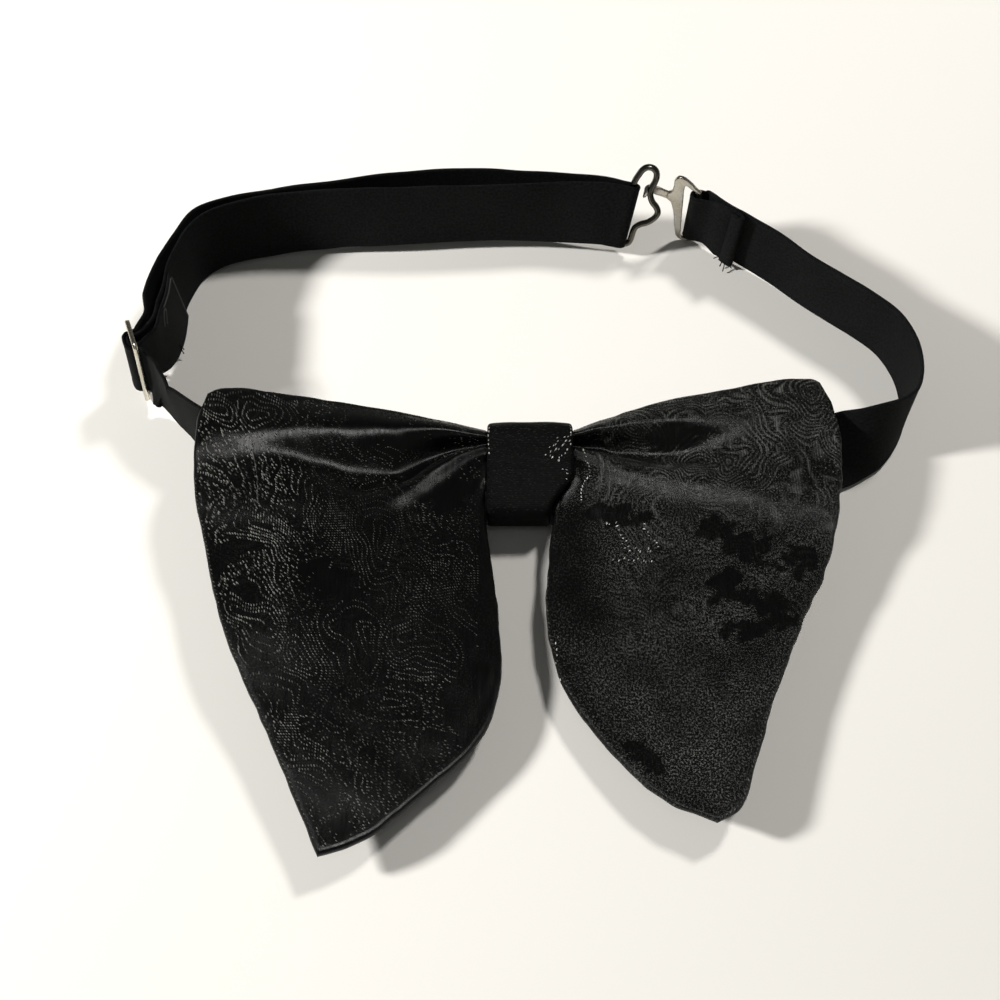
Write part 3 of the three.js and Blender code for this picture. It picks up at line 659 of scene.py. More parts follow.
# Height and reach of the lift beside the knot, and how much a wing's edge wanders
KNOT_LIFT = {-1: (2.4, 0.2), 1: (1.2, 0.1)}
EDGE_WANDER = {-1: 0.08, 1: 0.16}
# How the first row tucks under the band: its length's share, its place past the rim, and its drop
TUCKED_LENGTH, TUCKED_PAST, TUCKED_DROP = 0.96, 0.2, 0.35


def spaced(steps, power):
    """Shares from 0 to 1 that are closer near 0, with a few more close to both borders."""
    plain = np.linspace(0, 1, steps + 1) ** power
    plain = plain[(plain > 0.018) & (plain < 0.982)]
    return np.concatenate([EDGE_STEPS, plain, 1 - EDGE_STEPS[::-1]])


across = spaced(steps=150, power=1.25)
reaches = np.concatenate([np.linspace(0, 1, 141)[:-1] ** 1.12, 1 - EDGE_STEPS[::-1][1:]])
reaches = np.unique(np.round(reaches, 5))


def small_folds(grid, wing, reaches, across):
    r = reaches[:, None]
    a = across[None, :]
    x, y = grid[..., 0], grid[..., 1]
    pleats = np.sin(2 * math.pi * (PLEATS * a + 0.25 * np.sin(9 * r)) + wing["side"])
    calm = np.clip(a / 0.08, 0, 1) * np.clip((1 - a) / 0.06, 0, 1)
    gathered = PLEAT_HEIGHT * pleats * np.exp(-r / PLEAT_REACH) * calm * np.clip(r / 0.01, 0, 1)
    softness = sum(height * ripples(x, y, width, seed + wing["side"]) for height, width, seed in HILLS)
    return gathered + softness * calm * np.clip(r / 0.1, 0, 1)


def soften(heights):
    """Rounds the crests and hollows across the wing, in place."""
    for _ in range(CREST_SOFTENING):
        heights[:, 1:-1] = 0.25 * heights[:, :-2] + 0.5 * heights[:, 1:-1] + 0.25 * heights[:, 2:]


def tucked_row(grid, side):
    """A row that tucks the wing's first section under the band's rim."""
    row = grid[0].copy()
    row[:, 1] = BAND_MIDDLE_Y + (row[:, 1] - BAND_MIDDLE_Y) * TUCKED_LENGTH
    row[:, 0] = band_rim(side, row[:, 1]) - side * TUCKED_PAST
    row[:, 2] -= TUCKED_DROP
    return row[None]


face_rows = []
for wing in (left_wing, right_wing):
    side = wing["side"]
    grid = wing_grid(wing, reaches, across)
    soften(grid[..., 2])
    lift, lift_reach = KNOT_LIFT[side]
    lifted = smooth_value([0, 0.4, 0.66, 0.93, 1], [0, 0, 1, 0.8, 0], across)[None]
    grid[..., 2] += lift * lifted * np.clip(1 - reaches / lift_reach, 0, 1)[:, None] ** 2
    grid[..., 2] += small_folds(grid, wing, reaches, across)
    loose = np.clip(reaches / 0.15, 0, 1)[:, None] * EDGE_WANDER[side]
    for axis, seed in ((0, 31), (1, 41)):
        grid[..., axis] += loose * ripples(grid[..., 0], grid[..., 1], 5, seed + side)
    face_rows.append(np.concatenate([tucked_row(grid, side), grid]))
middle_rows = np.stack([gather_line(side, across) for side in (-1, 0, 1)])
bow_face = np.concatenate([face_rows[0][::-1], middle_rows, face_rows[1]])
print("bow face", bow_face.shape, "from", bow_face.min((0, 1)).round(1), "to", bow_face.max((0, 1)).round(1))


# %% [markdown]
# ## Flat cloth coordinates
# A woven figure keeps its size when the cloth is folded. Walking down each section and adding the true length
# of every step unrolls the panel, and gives flat coordinates for the weave and for the figures.

# %% Unrolled panel


def unrolled(grid):
    steps = np.diff(grid, axis=1)
    true_length = np.linalg.norm(steps, axis=2, keepdims=True)
    flat_steps = unit(steps[..., :2]) * true_length
    start = grid[:, :1, :2]
    return np.concatenate([start, start + np.cumsum(flat_steps, axis=1)], axis=1)


def distance_to_borders(grid):
    down = np.linalg.norm(np.diff(grid, axis=1), axis=2)
    out = np.linalg.norm(np.diff(grid, axis=0), axis=2)
    from_top = np.pad(np.cumsum(down, 1), ((0, 0), (1, 0)))
    from_left = np.pad(np.cumsum(out, 0), ((1, 0), (0, 0)))
    return np.minimum.reduce([from_top, from_top[:, -1:] - from_top, from_left, from_left[-1:] - from_left])


bow_flat = unrolled(bow_face)
edge = np.clip(distance_to_borders(bow_face) / EDGE_ROUND, 0, 1)
half = 0.5 * CLOTH * np.sqrt(1 - (1 - edge) ** 2)

# %% [markdown]
# ## Figures
# The brocade's figures are nested scrolls, a traditional cloud and paisley kind of pattern. The cloth is
# split into cells round scattered centres, and rings run round each centre. Some cells draw all their rings
# with dotted lines, some draw two of three, some fill two bands of three with slanted dashes like grains
# of rice, and a few stay plain satin. Soft ripples bend it all, so that no ring is a true oval.

# %% Scroll field
# bend ripples the rings, spacing parts them, and pitch parts the loom's threads
wings = {
    "left": dict(seed=21, cell=14, bend=2.4, spacing=1.15, pitch=0.62, stretch=(1.6, 3.2), turn=1.8,
                 spread=0.35, stitch=(0.72, 0.26, 0.2), thread=figure_thread),
    "right": dict(seed=34, cell=13, bend=2.8, spacing=1.25, pitch=0.74, stretch=(1, 2.3), turn=1.6,
                  spread=0.6, stitch=(0.55, 0.24, 0.16), thread=fine_thread),
}
RINGS, TWO_OF_THREE, RICE_BANDS, PLAIN = range(4)
STYLE_SHARES = {RINGS: 0.38, TWO_OF_THREE: 0.22, RICE_BANDS: 0.34, PLAIN: 0.06}
BROAD_RIPPLES = 19
FINE_RIPPLES, FINE_BEND = 6, 0.5


def scrolls(plan):
    """Centres, stretches, turns and styles of the scrolls of one wing."""
    rng = np.random.default_rng(plan["seed"])
    at_u, at_v = np.meshgrid(np.arange(-105, 106, plan["cell"]), np.arange(-130, 50, plan["cell"]))
    strewn = rng.uniform(-0.45, 0.45, (at_u.size, 2)) * plan["cell"]
    centres = np.stack([at_u.ravel(), at_v.ravel()], 1) + strewn
    stretch = rng.uniform(*plan["stretch"], len(centres))
    turn = rng.normal(plan["turn"], plan["spread"], len(centres))
    style = rng.choice(4, len(centres), p=list(STYLE_SHARES.values()))
    return centres, stretch, turn, style


def bent(straight, u, v, bend, seed):
    """A coordinate of the flat cloth with broad and fine ripples."""
    broad = bend * ripples(u, v, BROAD_RIPPLES, seed)
    fine = FINE_BEND * ripples(u, v, FINE_RIPPLES, seed + 1)
    return straight + broad + fine


def scroll_field(u, v, plan):
    """Distance to the nearest scroll centre in millimetres of cloth, and the number of that scroll."""
    bent_u = bent(u, u, v, plan["bend"], plan["seed"] + 1)
    bent_v = bent(v, u, v, plan["bend"], plan["seed"] + 3)
    centres, stretch, turn, _ = scrolls(plan)
    nearest = np.full(np.shape(u), 1e9)
    owner = np.zeros(np.shape(u), int)
    for k in range(len(centres)):
        du, dv = bent_u - centres[k, 0], bent_v - centres[k, 1]
        along = (math.cos(turn[k]) * du + math.sin(turn[k]) * dv) / stretch[k]
        aside = -math.sin(turn[k]) * du + math.cos(turn[k]) * dv
        distance = np.hypot(along, aside) * (1 + 0.12 * stretch[k])
        owner = np.where(distance < nearest, k, owner)
        nearest = np.minimum(nearest, distance)
    return nearest, owner


# %% [markdown]
# ## Plain and grainy patches
# The photograph shows satin patches without figures, which look like dark blots. They are laid out as ovals
# on the folded bow. Elsewhere the left wing is smooth satin between its dotted lines, while the right wing
# shows the grainy side of the weave, lightened towards its lower part by a painted sheen.

# %% Patches
# The middle of a patch, its half length and half width, and its turn in degrees
plain_patches = [
    (43.7, -15.1, 5, 4.5, 10), (51.1, -19.9, 6, 8, 70), (45.6, -28.9, 7, 4, 60),
    (63.8, -23.2, 6, 5, 30), (56.5, -35.6, 5, 5.5, 60), (49.5, -40.6, 8, 3, 5), (49.0, -32.6, 9, 3, -20),
    (20, -11.5, 10, 3.6, -8), (38, 10.5, 12, 4, 4),
    (-10.5, -54, 4.5, 8, 0), (-20, -6.5, 9, 5.5, 20), (-40.4, -86, 3, 4, 0), (-47, -30, 9, 6, -20),
    (-34, 9, 22, 4.6, -4), (24, -70, 7, 3.4, -40), (-26, 1, 12, 5, 14),
]


def plainness(x, y):
    """1 in the middle of a plain patch, 0 outside the patches."""
    most = np.zeros(np.shape(x))
    edge = 0.2 * ripples(x, y, 4, 77)
    for cx, cy, long, wide, turn in plain_patches:
        c, s = math.cos(math.radians(turn)), math.sin(math.radians(turn))
        dx, dy = x - cx, y - cy
        far = np.hypot((c * dx + s * dy) / long, (c * dy - s * dx) / wide) + edge
        most = np.maximum(most, np.clip((1.1 - far) / 0.6, 0, 1))
    return most


# %% Bow panel
# From 0 to 1 each: the right wing, the rough patches, the upper part, the lower part, and clear of the knot
x, y = bow_face[..., 0], bow_face[..., 1]
right_share = np.clip((x + 6) / 12, 0, 1)
rough_patches = np.clip(0.5 + 0.6 * ripples(x, y, 20, 55), 0, 1)
upper = np.clip((y + 14) / 14, 0, 1)
lower = np.clip((-38 - y) / 24, 0, 1)
near_knot = np.clip((np.abs(x) - 12) / 10, 0, 1)
# On the right wing the grain share grows towards the lower part, a painted sheen that lightens it.
grain_share = 0.07 + right_share * (0.22 + 0.3 * rough_patches + 0.5 * lower) * (0.4 + 0.6 * near_knot)
ringed_share = 0.06 + right_share * (0.15 + 0.35 * rough_patches + 0.75 * upper)
ringed_share = ringed_share * near_knot * (1 - 0.8 * lower)

offset = np.zeros(bow_face.shape)
offset[..., 2] = half
points, faces, place = closed_sheet(bow_face - [0, 0, 0.5 * CLOTH], offset)
bow = cloth_piece(
    "bow_panel",
    points,
    faces[:, ::-1],
    brocade.material,
    bow_flat.reshape(-1, 2)[place],
    grain=grain_share.ravel()[place],
    ringed=ringed_share.ravel()[place],
    plain=plainness(x, y).ravel()[place],
)
print("bow panel", count_triangles(bow), "triangles")

# %% [markdown]
# ## Stitches as instances
# Thousands of tiny thread floats draw the figures. Geometry Nodes put one small bead of thread on every
# point of a mesh, turned along the point's own direction and lying flat on the cloth. The same tree later
# sews the seams.

# %% Tree helper


class Tree:
    """A tree of geometry nodes with named inputs. It ends in a plain mesh that is painted with a material."""

    def __init__(self, name, **inputs):
        self.group = bpy.data.node_groups.new(name, "GeometryNodeTree")
        self.sockets = {}
        face = self.group.interface
        face.new_socket("Geometry", in_out="INPUT", socket_type="NodeSocketGeometry")
        for key, kind in {**inputs, "Material": "Material"}.items():
            socket = face.new_socket(key, in_out="INPUT", socket_type="NodeSocket" + kind)
            self.sockets[key] = socket.identifier
        face.new_socket("Geometry", in_out="OUTPUT", socket_type="NodeSocketGeometry")
        self.start = self.node("NodeGroupInput").outputs

    def node(self, kind, **values):
        return new_node(self.group, kind, **values)

    def link(self, source, target):
        self.group.links.new(source, target)

    def end(self, geometry):
        """Makes the instances real, paints them and hands them out."""
        realise = self.node("GeometryNodeRealizeInstances")
        paint = self.node("GeometryNodeSetMaterial")
        self.link(geometry, realise.inputs["Geometry"])
        self.link(realise.outputs["Geometry"], paint.inputs["Geometry"])
        self.link(self.start["Material"], paint.inputs["Material"])
        self.link(paint.outputs["Geometry"], self.node("NodeGroupOutput").inputs["Geometry"])

    def grow(self, name, mesh, **values):
        """The finished piece that the tree makes from a mesh of points or paths."""
        maker = add_object(name + "_maker", mesh)
        modifier = maker.modifiers.new(self.group.name, "NODES")
        modifier.node_group = self.group
        for key, value in values.items():
            modifier[self.sockets[key]] = value
        made = bpy.data.meshes.new_from_object(maker.evaluated_get(bpy.context.evaluated_depsgraph_get()))
        made.shade_smooth()
        bpy.data.objects.remove(maker)
        return add_object(name, made)


# %% Stitch tree
BEAD_RADIUS = 0.55

stitch_tree = Tree("stitches", Length="Float", Width="Float", Height="Float")
bead = stitch_tree.node("GeometryNodeMeshIcoSphere", Subdivisions=1, Radius=BEAD_RADIUS)
extent = stitch_tree.node("ShaderNodeCombineXYZ")
for axis, key in zip("XYZ", ("Length", "Width", "Height")):
    stitch_tree.link(stitch_tree.start[key], extent.inputs[axis])
squeeze = stitch_tree.node("GeometryNodeTransform")
stitch_tree.link(bead.outputs["Mesh"], squeeze.inputs["Geometry"])
stitch_tree.link(extent.outputs["Vector"], squeeze.inputs["Scale"])
turn = stitch_tree.node("FunctionNodeAxesToRotation", primary_axis="Z", secondary_axis="X")
put = stitch_tree.node("GeometryNodeInstanceOnPoints")
for key, kind, socket in (
    ("facing", "FLOAT_VECTOR", turn.inputs["Primary Axis"]),
    ("along", "FLOAT_VECTOR", turn.inputs["Secondary Axis"]),
    ("size", "FLOAT", put.inputs["Scale"]),
):
    read = stitch_tree.node("GeometryNodeInputNamedAttribute", data_type=kind, Name=key)
    stitch_tree.link(read.outputs["Attribute"], socket)
stitch_tree.link(stitch_tree.start["Geometry"], put.inputs["Points"])
stitch_tree.link(squeeze.outputs["Geometry"], put.inputs["Instance"])
stitch_tree.link(turn.outputs["Rotation"], put.inputs["Rotation"])
stitch_tree.end(put.outputs["Instances"])


def sewn(name, points, along, facing, material, stitch, size, tone_and_glint):
    """A piece with a stitch on each point. stitch gives its length, width and height in millimetres."""
    mesh = new_mesh(name + "_points", points)
    for key, values in (("along", unit(along)), ("facing", unit(facing)), ("size", size), ("tone_and_glint", tone_and_glint)):
        add_attribute(mesh, key, values)
    length, width, height = (number * MM for number in stitch)
    piece = stitch_tree.grow(name, mesh, Length=length, Width=width, Height=height, Material=material)
    print(name, len(points), "stitches,", count_triangles(piece), "triangles")
    return piece


# %% [markdown]
# ## Where the floats lie
# A loom can lift a thread only where two threads cross. So the scroll lines are cut with evenly spaced
# threads, and a float is put on every crossing. The unrolled panel then tells where each crossing lies on the
# folded cloth, and which way is up there.

# %% Figure crossings
SCAN_STEP = 0.2
SLOPE_STEP = 0.25


def ring_dots(plan, low, high):
    """Crossings of the drawn rings with the loom's threads: places and directions on the flat cloth."""
    found = []
    style = scrolls(plan)[3]
    for turned in (False, True):
        axis = 1 if turned else 0
        threads = np.arange(low[1 - axis], high[1 - axis], plan["pitch"])
        places = np.arange(low[axis], high[axis], SCAN_STEP)
        s, t = np.meshgrid(places, threads)
        u, v = (t, s) if turned else (s, t)
        distance, owner = scroll_field(u, v, plan)
        ring = np.floor(distance / plan["spacing"]).astype(int)
        same = owner[:, :-1] == owner[:, 1:]
        change = np.nonzero(same & (ring[:, :-1] != ring[:, 1:]))
        number = np.maximum(ring[:, :-1], ring[:, 1:])[change]
        kind = style[owner[change]]
        drawn = (kind == RINGS) | ((kind == TWO_OF_THREE) & (number % 3 > 0))
        drawn |= (kind == RICE_BANDS) & (number % 3 == 1)
        cu, cv = u[change], v[change]
        slope_u, slope_v = (
            scroll_field(cu + du, cv + dv, plan)[0] - scroll_field(cu - du, cv - dv, plan)[0]
            for du, dv in ((SLOPE_STEP, 0), (0, SLOPE_STEP))
        )
        steep = np.abs(slope_v) > np.abs(slope_u)
        drawn &= steep if turned else ~steep
        found.append(np.stack([cu, cv, -slope_v, slope_u], 1)[drawn])
    return np.concatenate(found)


# %% Grains of rice
RICE_GAPS = (1.5, 1.25)
RICE_STREWN = 0.4
RICE_KEPT = 0.85
RICE_SLANT = 32


def rice_dashes(plan, low, high):
    """Slanted dashes in rows, inside the bands of the scrolls that are filled with them."""
    dash_gap, row_gap = (gap * plan["pitch"] for gap in RICE_GAPS)
    u, v = np.meshgrid(np.arange(low[0], high[0], dash_gap), np.arange(low[1], high[1], row_gap))
    u = u + 0.5 * dash_gap * (np.arange(len(v)) % 2)[:, None]
    distance, owner = scroll_field(u, v, plan)
    ring = np.floor(distance / plan["spacing"]).astype(int)
    style = scrolls(plan)[3]
    u = u + random.uniform(-RICE_STREWN, RICE_STREWN, u.shape) * dash_gap
    v = v + random.uniform(-RICE_STREWN, RICE_STREWN, v.shape) * row_gap
    inside = (style[owner] == RICE_BANDS) & (ring % 3 != 0) & (random.uniform(size=u.shape) < RICE_KEPT)
    slant = math.radians(RICE_SLANT) * np.where(owner % 2 == 0, 1, -1)
    return np.stack([u, v, np.cos(slant), np.sin(slant)], -1)[inside]


# %% From the flat cloth to the folded one
FLOAT_AHEAD = 0.2


def lay_on_cloth(flat_grid, solid_grid, places):
    """Points, directions and facings on the folded cloth for flat places (u, v, du, dv)."""
    index = quads(np.arange(flat_grid.shape[0] * flat_grid.shape[1]).reshape(flat_grid.shape[:2]))
    triangles = np.concatenate([index[:, [0, 1, 2]], index[:, [0, 2, 3]]])
    flat = np.pad(flat_grid.reshape(-1, 2), ((0, 0), (0, 1)))
    solid = solid_grid.reshape(-1, 3)
    finder = BVHTree.FromPolygons(flat.tolist(), triangles.tolist(), all_triangles=True)
    down = Vector((0, 0, -1))
    spots, ways, ups = [], [], []
    for u, v, du, dv in places.tolist():
        number = finder.ray_cast(Vector((u, v, 1)), down)[2]
        if number is None:
            continue
        corners = triangles[number]
        a = [Vector(flat[k]) for k in corners]
        b = [Vector(solid[k]) for k in corners]
        spot = barycentric_transform(Vector((u, v, 0)), *a, *b)
        scale = FLOAT_AHEAD / max(math.hypot(du, dv), 1e-6)
        ahead = barycentric_transform(Vector((u + du * scale, v + dv * scale, 0)), *a, *b)
        up = (b[1] - b[0]).cross(b[2] - b[0])
        spots.append(spot)
        ways.append(ahead - spot)
        ups.append(up if up.z > 0 else -up)
    return np.array(spots), np.array(ways), np.array(ups)


# %% Wing figures
EDGE_ROWS = 4
KNOT_FREE = 12.5


def painted_float_highlight(side, x, y):
    """Painted highlight seen from above: floats coloured lighter where light catches them, most at the outer
    left.
    """
    cloudy = np.clip(0.6 + 0.4 * ripples(x, y, 16, 66), 0.25, 1.2)
    if side == "left":
        outer = 1 / (1 + np.exp((x + 62 - 0.3 * np.clip(-y, 0, 90)) / 4))
        lower = np.clip((-20 - y) / 30, 0, 1)
        shine = 0.3 + 0.25 * lower + 1.45 * outer * (1 - 0.72 * lower)
        return cloudy * shine * np.clip(1 - (y - 4) / 30, 0.4, 1)
    upper = 1 / (1 + np.exp(-(y + 12) / 8))
    return cloudy * (0.14 + 0.3 * upper + 0.35 * upper * np.clip((x - 30) / 30, 0, 1))


halves = {"left": slice(0, len(reaches)), "right": slice(-len(reaches), None)}
wing_figures = []
for side, plan in wings.items():
    keep = slice(EDGE_ROWS, -EDGE_ROWS)
    flat_grid, solid_grid = bow_flat[halves[side]][keep, keep], bow_face[halves[side]][keep, keep]
    low, high = flat_grid.min((0, 1)), flat_grid.max((0, 1))
    places = np.concatenate([ring_dots(plan, low, high), rice_dashes(plan, low, high)])
    spots, ways, ups = lay_on_cloth(flat_grid, solid_grid, places)
    wanted = random.uniform(size=len(spots)) > plainness(spots[:, 0], spots[:, 1])
    wanted &= np.abs(spots[:, 0]) > KNOT_FREE
    spots, ways, ups = spots[wanted], ways[wanted], ups[wanted]
    if side == "left":
        slant = np.radians(-22 - 0.55 * np.abs(spots[:, 0]))
        ways = np.stack([np.cos(slant), np.sin(slant), 0 * slant], 1) + 0.3 * unit(ways)
    size = random.uniform(0.75, 1.1, len(spots)) * (0.9 + 0.4 * np.clip((-spots[:, 0] - 50) / 14, 0, 1))
    # The floats' colour carries this painted highlight, times a random spread of tone.
    tone_and_glint = painted_float_highlight(side, spots[:, 0], spots[:, 1]) * 2 * random.uniform(0.1, 1, len(spots)) ** 2
    made = sewn("figures_" + side, spots, ways, ups, plan["thread"], plan["stitch"], size, tone_and_glint)
    wing_figures.append(made)

# %% [markdown]
# ## Knot band
# The band is a short tube of the same cloth, folded from a strip. It is flat behind and crowned in front, its
# edges are rolled, and the strip's folds show as faint creases round it.

# %% Band
BAND_WALL = 1.7
BAND_CORNER = 4.8
BAND_SLOPE = 2.6
CREASE_HEIGHT = 0.07
CROWN_HEIGHT = 0.35


def band_outline(steps):
    """Section of the band in YZ, round by round, with its outward directions."""
    half_y, height, corner = BAND_HALF_LENGTH, BAND_HEIGHT, BAND_CORNER
    corners = [(half_y - corner, corner, -90), (half_y - corner, height - corner, 0),
               (-half_y + corner, height - corner, 90), (-half_y + corner, corner, 180)]
    line = []
    for y, z, start in corners:
        for angle in np.radians(np.linspace(start, start + 90, 13)):
            line.append((y + corner * math.cos(angle), z + corner * math.sin(angle), 0))
    line.append(line[0])
    line = np.array(line)
    run = lengths_along(line)
    stops = np.linspace(0, run[-1], steps + 1)[:-1]
    y, z = (np.interp(stops, run, line[:, k]) for k in (0, 1))
    ahead = np.roll(np.stack([y, z], 1), -1, 0) - np.roll(np.stack([y, z], 1), 1, 0)
    outward = unit(np.stack([ahead[:, 1], -ahead[:, 0]], 1))
    z = z - BAND_SLOPE * np.clip(z / height, 0, 1) * np.clip((6 - y) / 16, 0, 1) ** 1.5
    return y + BAND_MIDDLE_Y, z, outward, stops


band_across = np.concatenate([[0, 0.012, 0.035, 0.06], np.linspace(0.09, 0.91, 30), [0.94, 0.965, 0.988, 1]])


def each_column(values):
    """One value a round, repeated over the band's width."""
    return np.repeat(values[:, None], len(band_across), 1)


band_y, band_z, outward, around = band_outline(steps=150)
left_rim, right_rim = band_rim(-1, band_y), band_rim(1, band_y)
x = left_rim[:, None] + (right_rim - left_rim)[:, None] * band_across[None]
side_edge = np.minimum(x - left_rim[:, None], right_rim[:, None] - x)
roll = np.sqrt(np.clip(1 - (1 - np.clip(side_edge, 0, 1)) ** 2, 0, 1))
front = np.clip((band_z - 3) / 6, 0, 1)[:, None]
creases = CREASE_HEIGHT * ripples(x, 2.5 * around[:, None], 9, 5)
crown = (CROWN_HEIGHT * (1 - (x / 11) ** 2) + creases) * front * np.clip(side_edge / 1.5, 0, 1)
normal = np.stack([np.zeros_like(x), each_column(outward[:, 0]), each_column(outward[:, 1])], -1)
band_middle = np.stack([x, each_column(band_y), each_column(band_z)], -1)
band_middle = band_middle + normal * (crown - 0.5 * BAND_WALL)[..., None]
points, faces, place = closed_sheet(band_middle, normal * (0.5 * BAND_WALL * roll)[..., None], wrapped=True)
band_flat = np.stack([x, each_column(around)], -1)
band = cloth_piece("knot_wrap", points, faces, band_cloth, band_flat.reshape(-1, 2)[place])
print("knot band", count_triangles(band), "triangles")

# %% [markdown]
# ## Seams and painted glints
# The panel is sewn inside out and turned, so its edge shows the seam as a row of tiny slanted stitches. In a
# few places single floats are coloured pale, a painted glint where the light catches them, and the band's rims
# show small stitches with the same painted glint. These are laid along short curves drawn from above and
# dropped on the cloth.

# %% Dropping points on a surface
ABOVE_ALL = 60


def surface_below(piece):
    mesh = piece.data
    return BVHTree.FromPolygons([v.co[:] for v in mesh.vertices], [p.vertices[:] for p in mesh.polygons])


def dropped(surface, spots):
    """Places and facings, in millimetres from the knot, where spots seen from above meet a surface."""
    places, facings = [], []
    for x, y in np.asarray(spots, float):
        start = in_frame((x, y, ABOVE_ALL))
        hit, normal, _, _ = surface.ray_cast(Vector(start), Vector((0, 0, -1)))
        if hit is None:
            continue
        places.append(np.array(hit) / MM + BOX_MIDDLE)
        facings.append(np.array(normal) if normal.z > 0 else -np.array(normal))
    return np.array(places), np.array(facings)


def along_curve(points, spacing, wander, seed):
    """Spots on a curve seen from above, that far apart, and the curve's direction at each."""
    path = evenly([(x, y, 0) for x, y in points], spacing)
    ways = unit(np.gradient(path, axis=0))
    return path[:, :2] + np.random.default_rng(seed).normal(0, wander, (len(path), 2)), ways


def turned(ways, degrees):
    c, s = math.cos(math.radians(degrees)), math.sin(math.radians(degrees))
    return np.stack([c * ways[:, 0] - s * ways[:, 1], s * ways[:, 0] + c * ways[:, 1], ways[:, 2]], 1)


# %% Edge seams
SEAM_PITCH = 1.05
SEAM_SLANT = 35
seam_lines = [face_rows[0][-4, 40:-4], face_rows[1][-4, 110:-4], face_rows[1][30:110, -4]]
seam_points, seam_ways, seam_up = [], [], []
for line in seam_lines:
    path = evenly(line[::4], SEAM_PITCH)
    seam_points.append(path)
    seam_ways.append(turned(unit(np.gradient(path, axis=0)), SEAM_SLANT))
    seam_up.append(np.tile([0, 0, 1.0], (len(path), 1)))
seam_points, seam_ways, seam_up = (np.concatenate(part) for part in (seam_points, seam_ways, seam_up))
size = random.uniform(0.5, 1.1, len(seam_points))
tone_and_glint = random.uniform(0.05, 0.6, len(seam_points))
seams = sewn("edge_seams", seam_points, seam_ways, seam_up, figure_thread, stitch=(0.7, 0.26, 0.22),
             size=size, tone_and_glint=tone_and_glint)

# %% Painted glints
bow_surface, band_surface = surface_below(bow), surface_below(band)
# A surface, a curve on it, the floats' spacing and wander, and their turn from the curve in degrees
glints = [
    (bow_surface, [(17.5, -13.7), (20.6, -14.8), (21.6, -18), (24.3, -21), (28.8, -21)], 0.75, 0.45, 70),
    (bow_surface, [(27.3, -14.5), (28.1, -17.0), (30.5, -20.2)], 0.85, 0.3, 60),
    (bow_surface, [(20.1, -22.9), (23.6, -23.4), (28.6, -23.6)], 1.0, 0.3, 60),
    (bow_surface, [(12.9, 7.5), (13.6, 3.5), (14.6, -0.5), (12.6, -3.6), (12.4, -7)], 0.8, 0.12, 20),
    (bow_surface, [(5.6, -42), (5.5, -48), (6.8, -54.5), (9.6, -61)], 1.4, 0.3, 0),
    (band_surface, [(3.8, 3.4), (6, 6.4), (8.2, 8.2), (10, 9.3)], 0.9, 0.3, 10),
    (band_surface, [(5.2, 2.6), (7.2, 5.2), (9.6, 7.4)], 0.8, 0.35, 10),
    (band_surface, [(6.8, 1.4), (8.4, 4.6), (9.9, 6.2)], 0.8, 0.35, 20),
    (band_surface, [(8.4, 0.2), (8.9, -4.2), (7.6, -7.4)], 1.1, 0.5, 60),
    (band_surface, [(-10.2, 11.4), (-10.3, 7.5), (-10.2, 4)], 1.1, 0.06, 10),
    (band_surface, [(10.1, 12), (10.2, 9.8)], 1.1, 0.06, 10),
]
places, facings, ways = [], [], []
for number, (surface, curve, spacing, wander, turn) in enumerate(glints):
    spots, direction = along_curve(curve, spacing, wander, 90 + number)
    there, facing = dropped(surface, spots)
    places.append(there)
    facings.append(facing)
    ways.append(turned(direction[: len(there)], turn))
places, facings, ways = (np.concatenate(part) for part in (places, facings, ways))
# Their pale colour is a painted glint, spread at random.
size = random.uniform(0.6, 1.15, len(places))
tone_and_glint = random.uniform(0.15, 1.0, len(places))
glint_floats = sewn("painted_glint_floats", places, ways, facings, painted_glint_thread, stitch=(0.7, 0.32, 0.24),
              size=size, tone_and_glint=tone_and_glint)

# %% Band weave
WEAVE_GAPS = (0.85, 0.62)
WEAVE_STREWN = 0.15
WEAVE_KEPT = 0.45

rows = np.arange(-10.2, 13.6, WEAVE_GAPS[1])
spots = np.stack(np.meshgrid(np.arange(-10, 10.2, WEAVE_GAPS[0]), rows), -1)
spots[1::2, :, 0] += 0.42
spots = spots.reshape(-1, 2) + random.normal(0, WEAVE_STREWN, (spots.size // 2, 2))
spots = spots[random.uniform(size=len(spots)) < WEAVE_KEPT]
places, facings = dropped(band_surface, spots)
ways = np.tile([1.0, 0.05, 0], (len(places), 1))
size = random.uniform(0.6, 1.1, len(places))
tone_and_glint = random.uniform(0, 0.55, len(places))
band_weave = sewn("band_weave", places, ways, facings, seam_thread, stitch=(0.85, 0.2, 0.12),
                  size=size, tone_and_glint=tone_and_glint)

# %% [markdown]
# ## Strap tables
# The strap is one long ribbon that stands on its edge. Each row gives a point of its lower edge, how far it
# is lifted, how far it leans out of the ring, and how far its lower third curls. The rows follow the solid's,
# and only next to the slider the layers lie closer together, as in the photograph.

# %% Strap tables
STRAP_WIDTH = 19
STRAP_WALL = 0.8

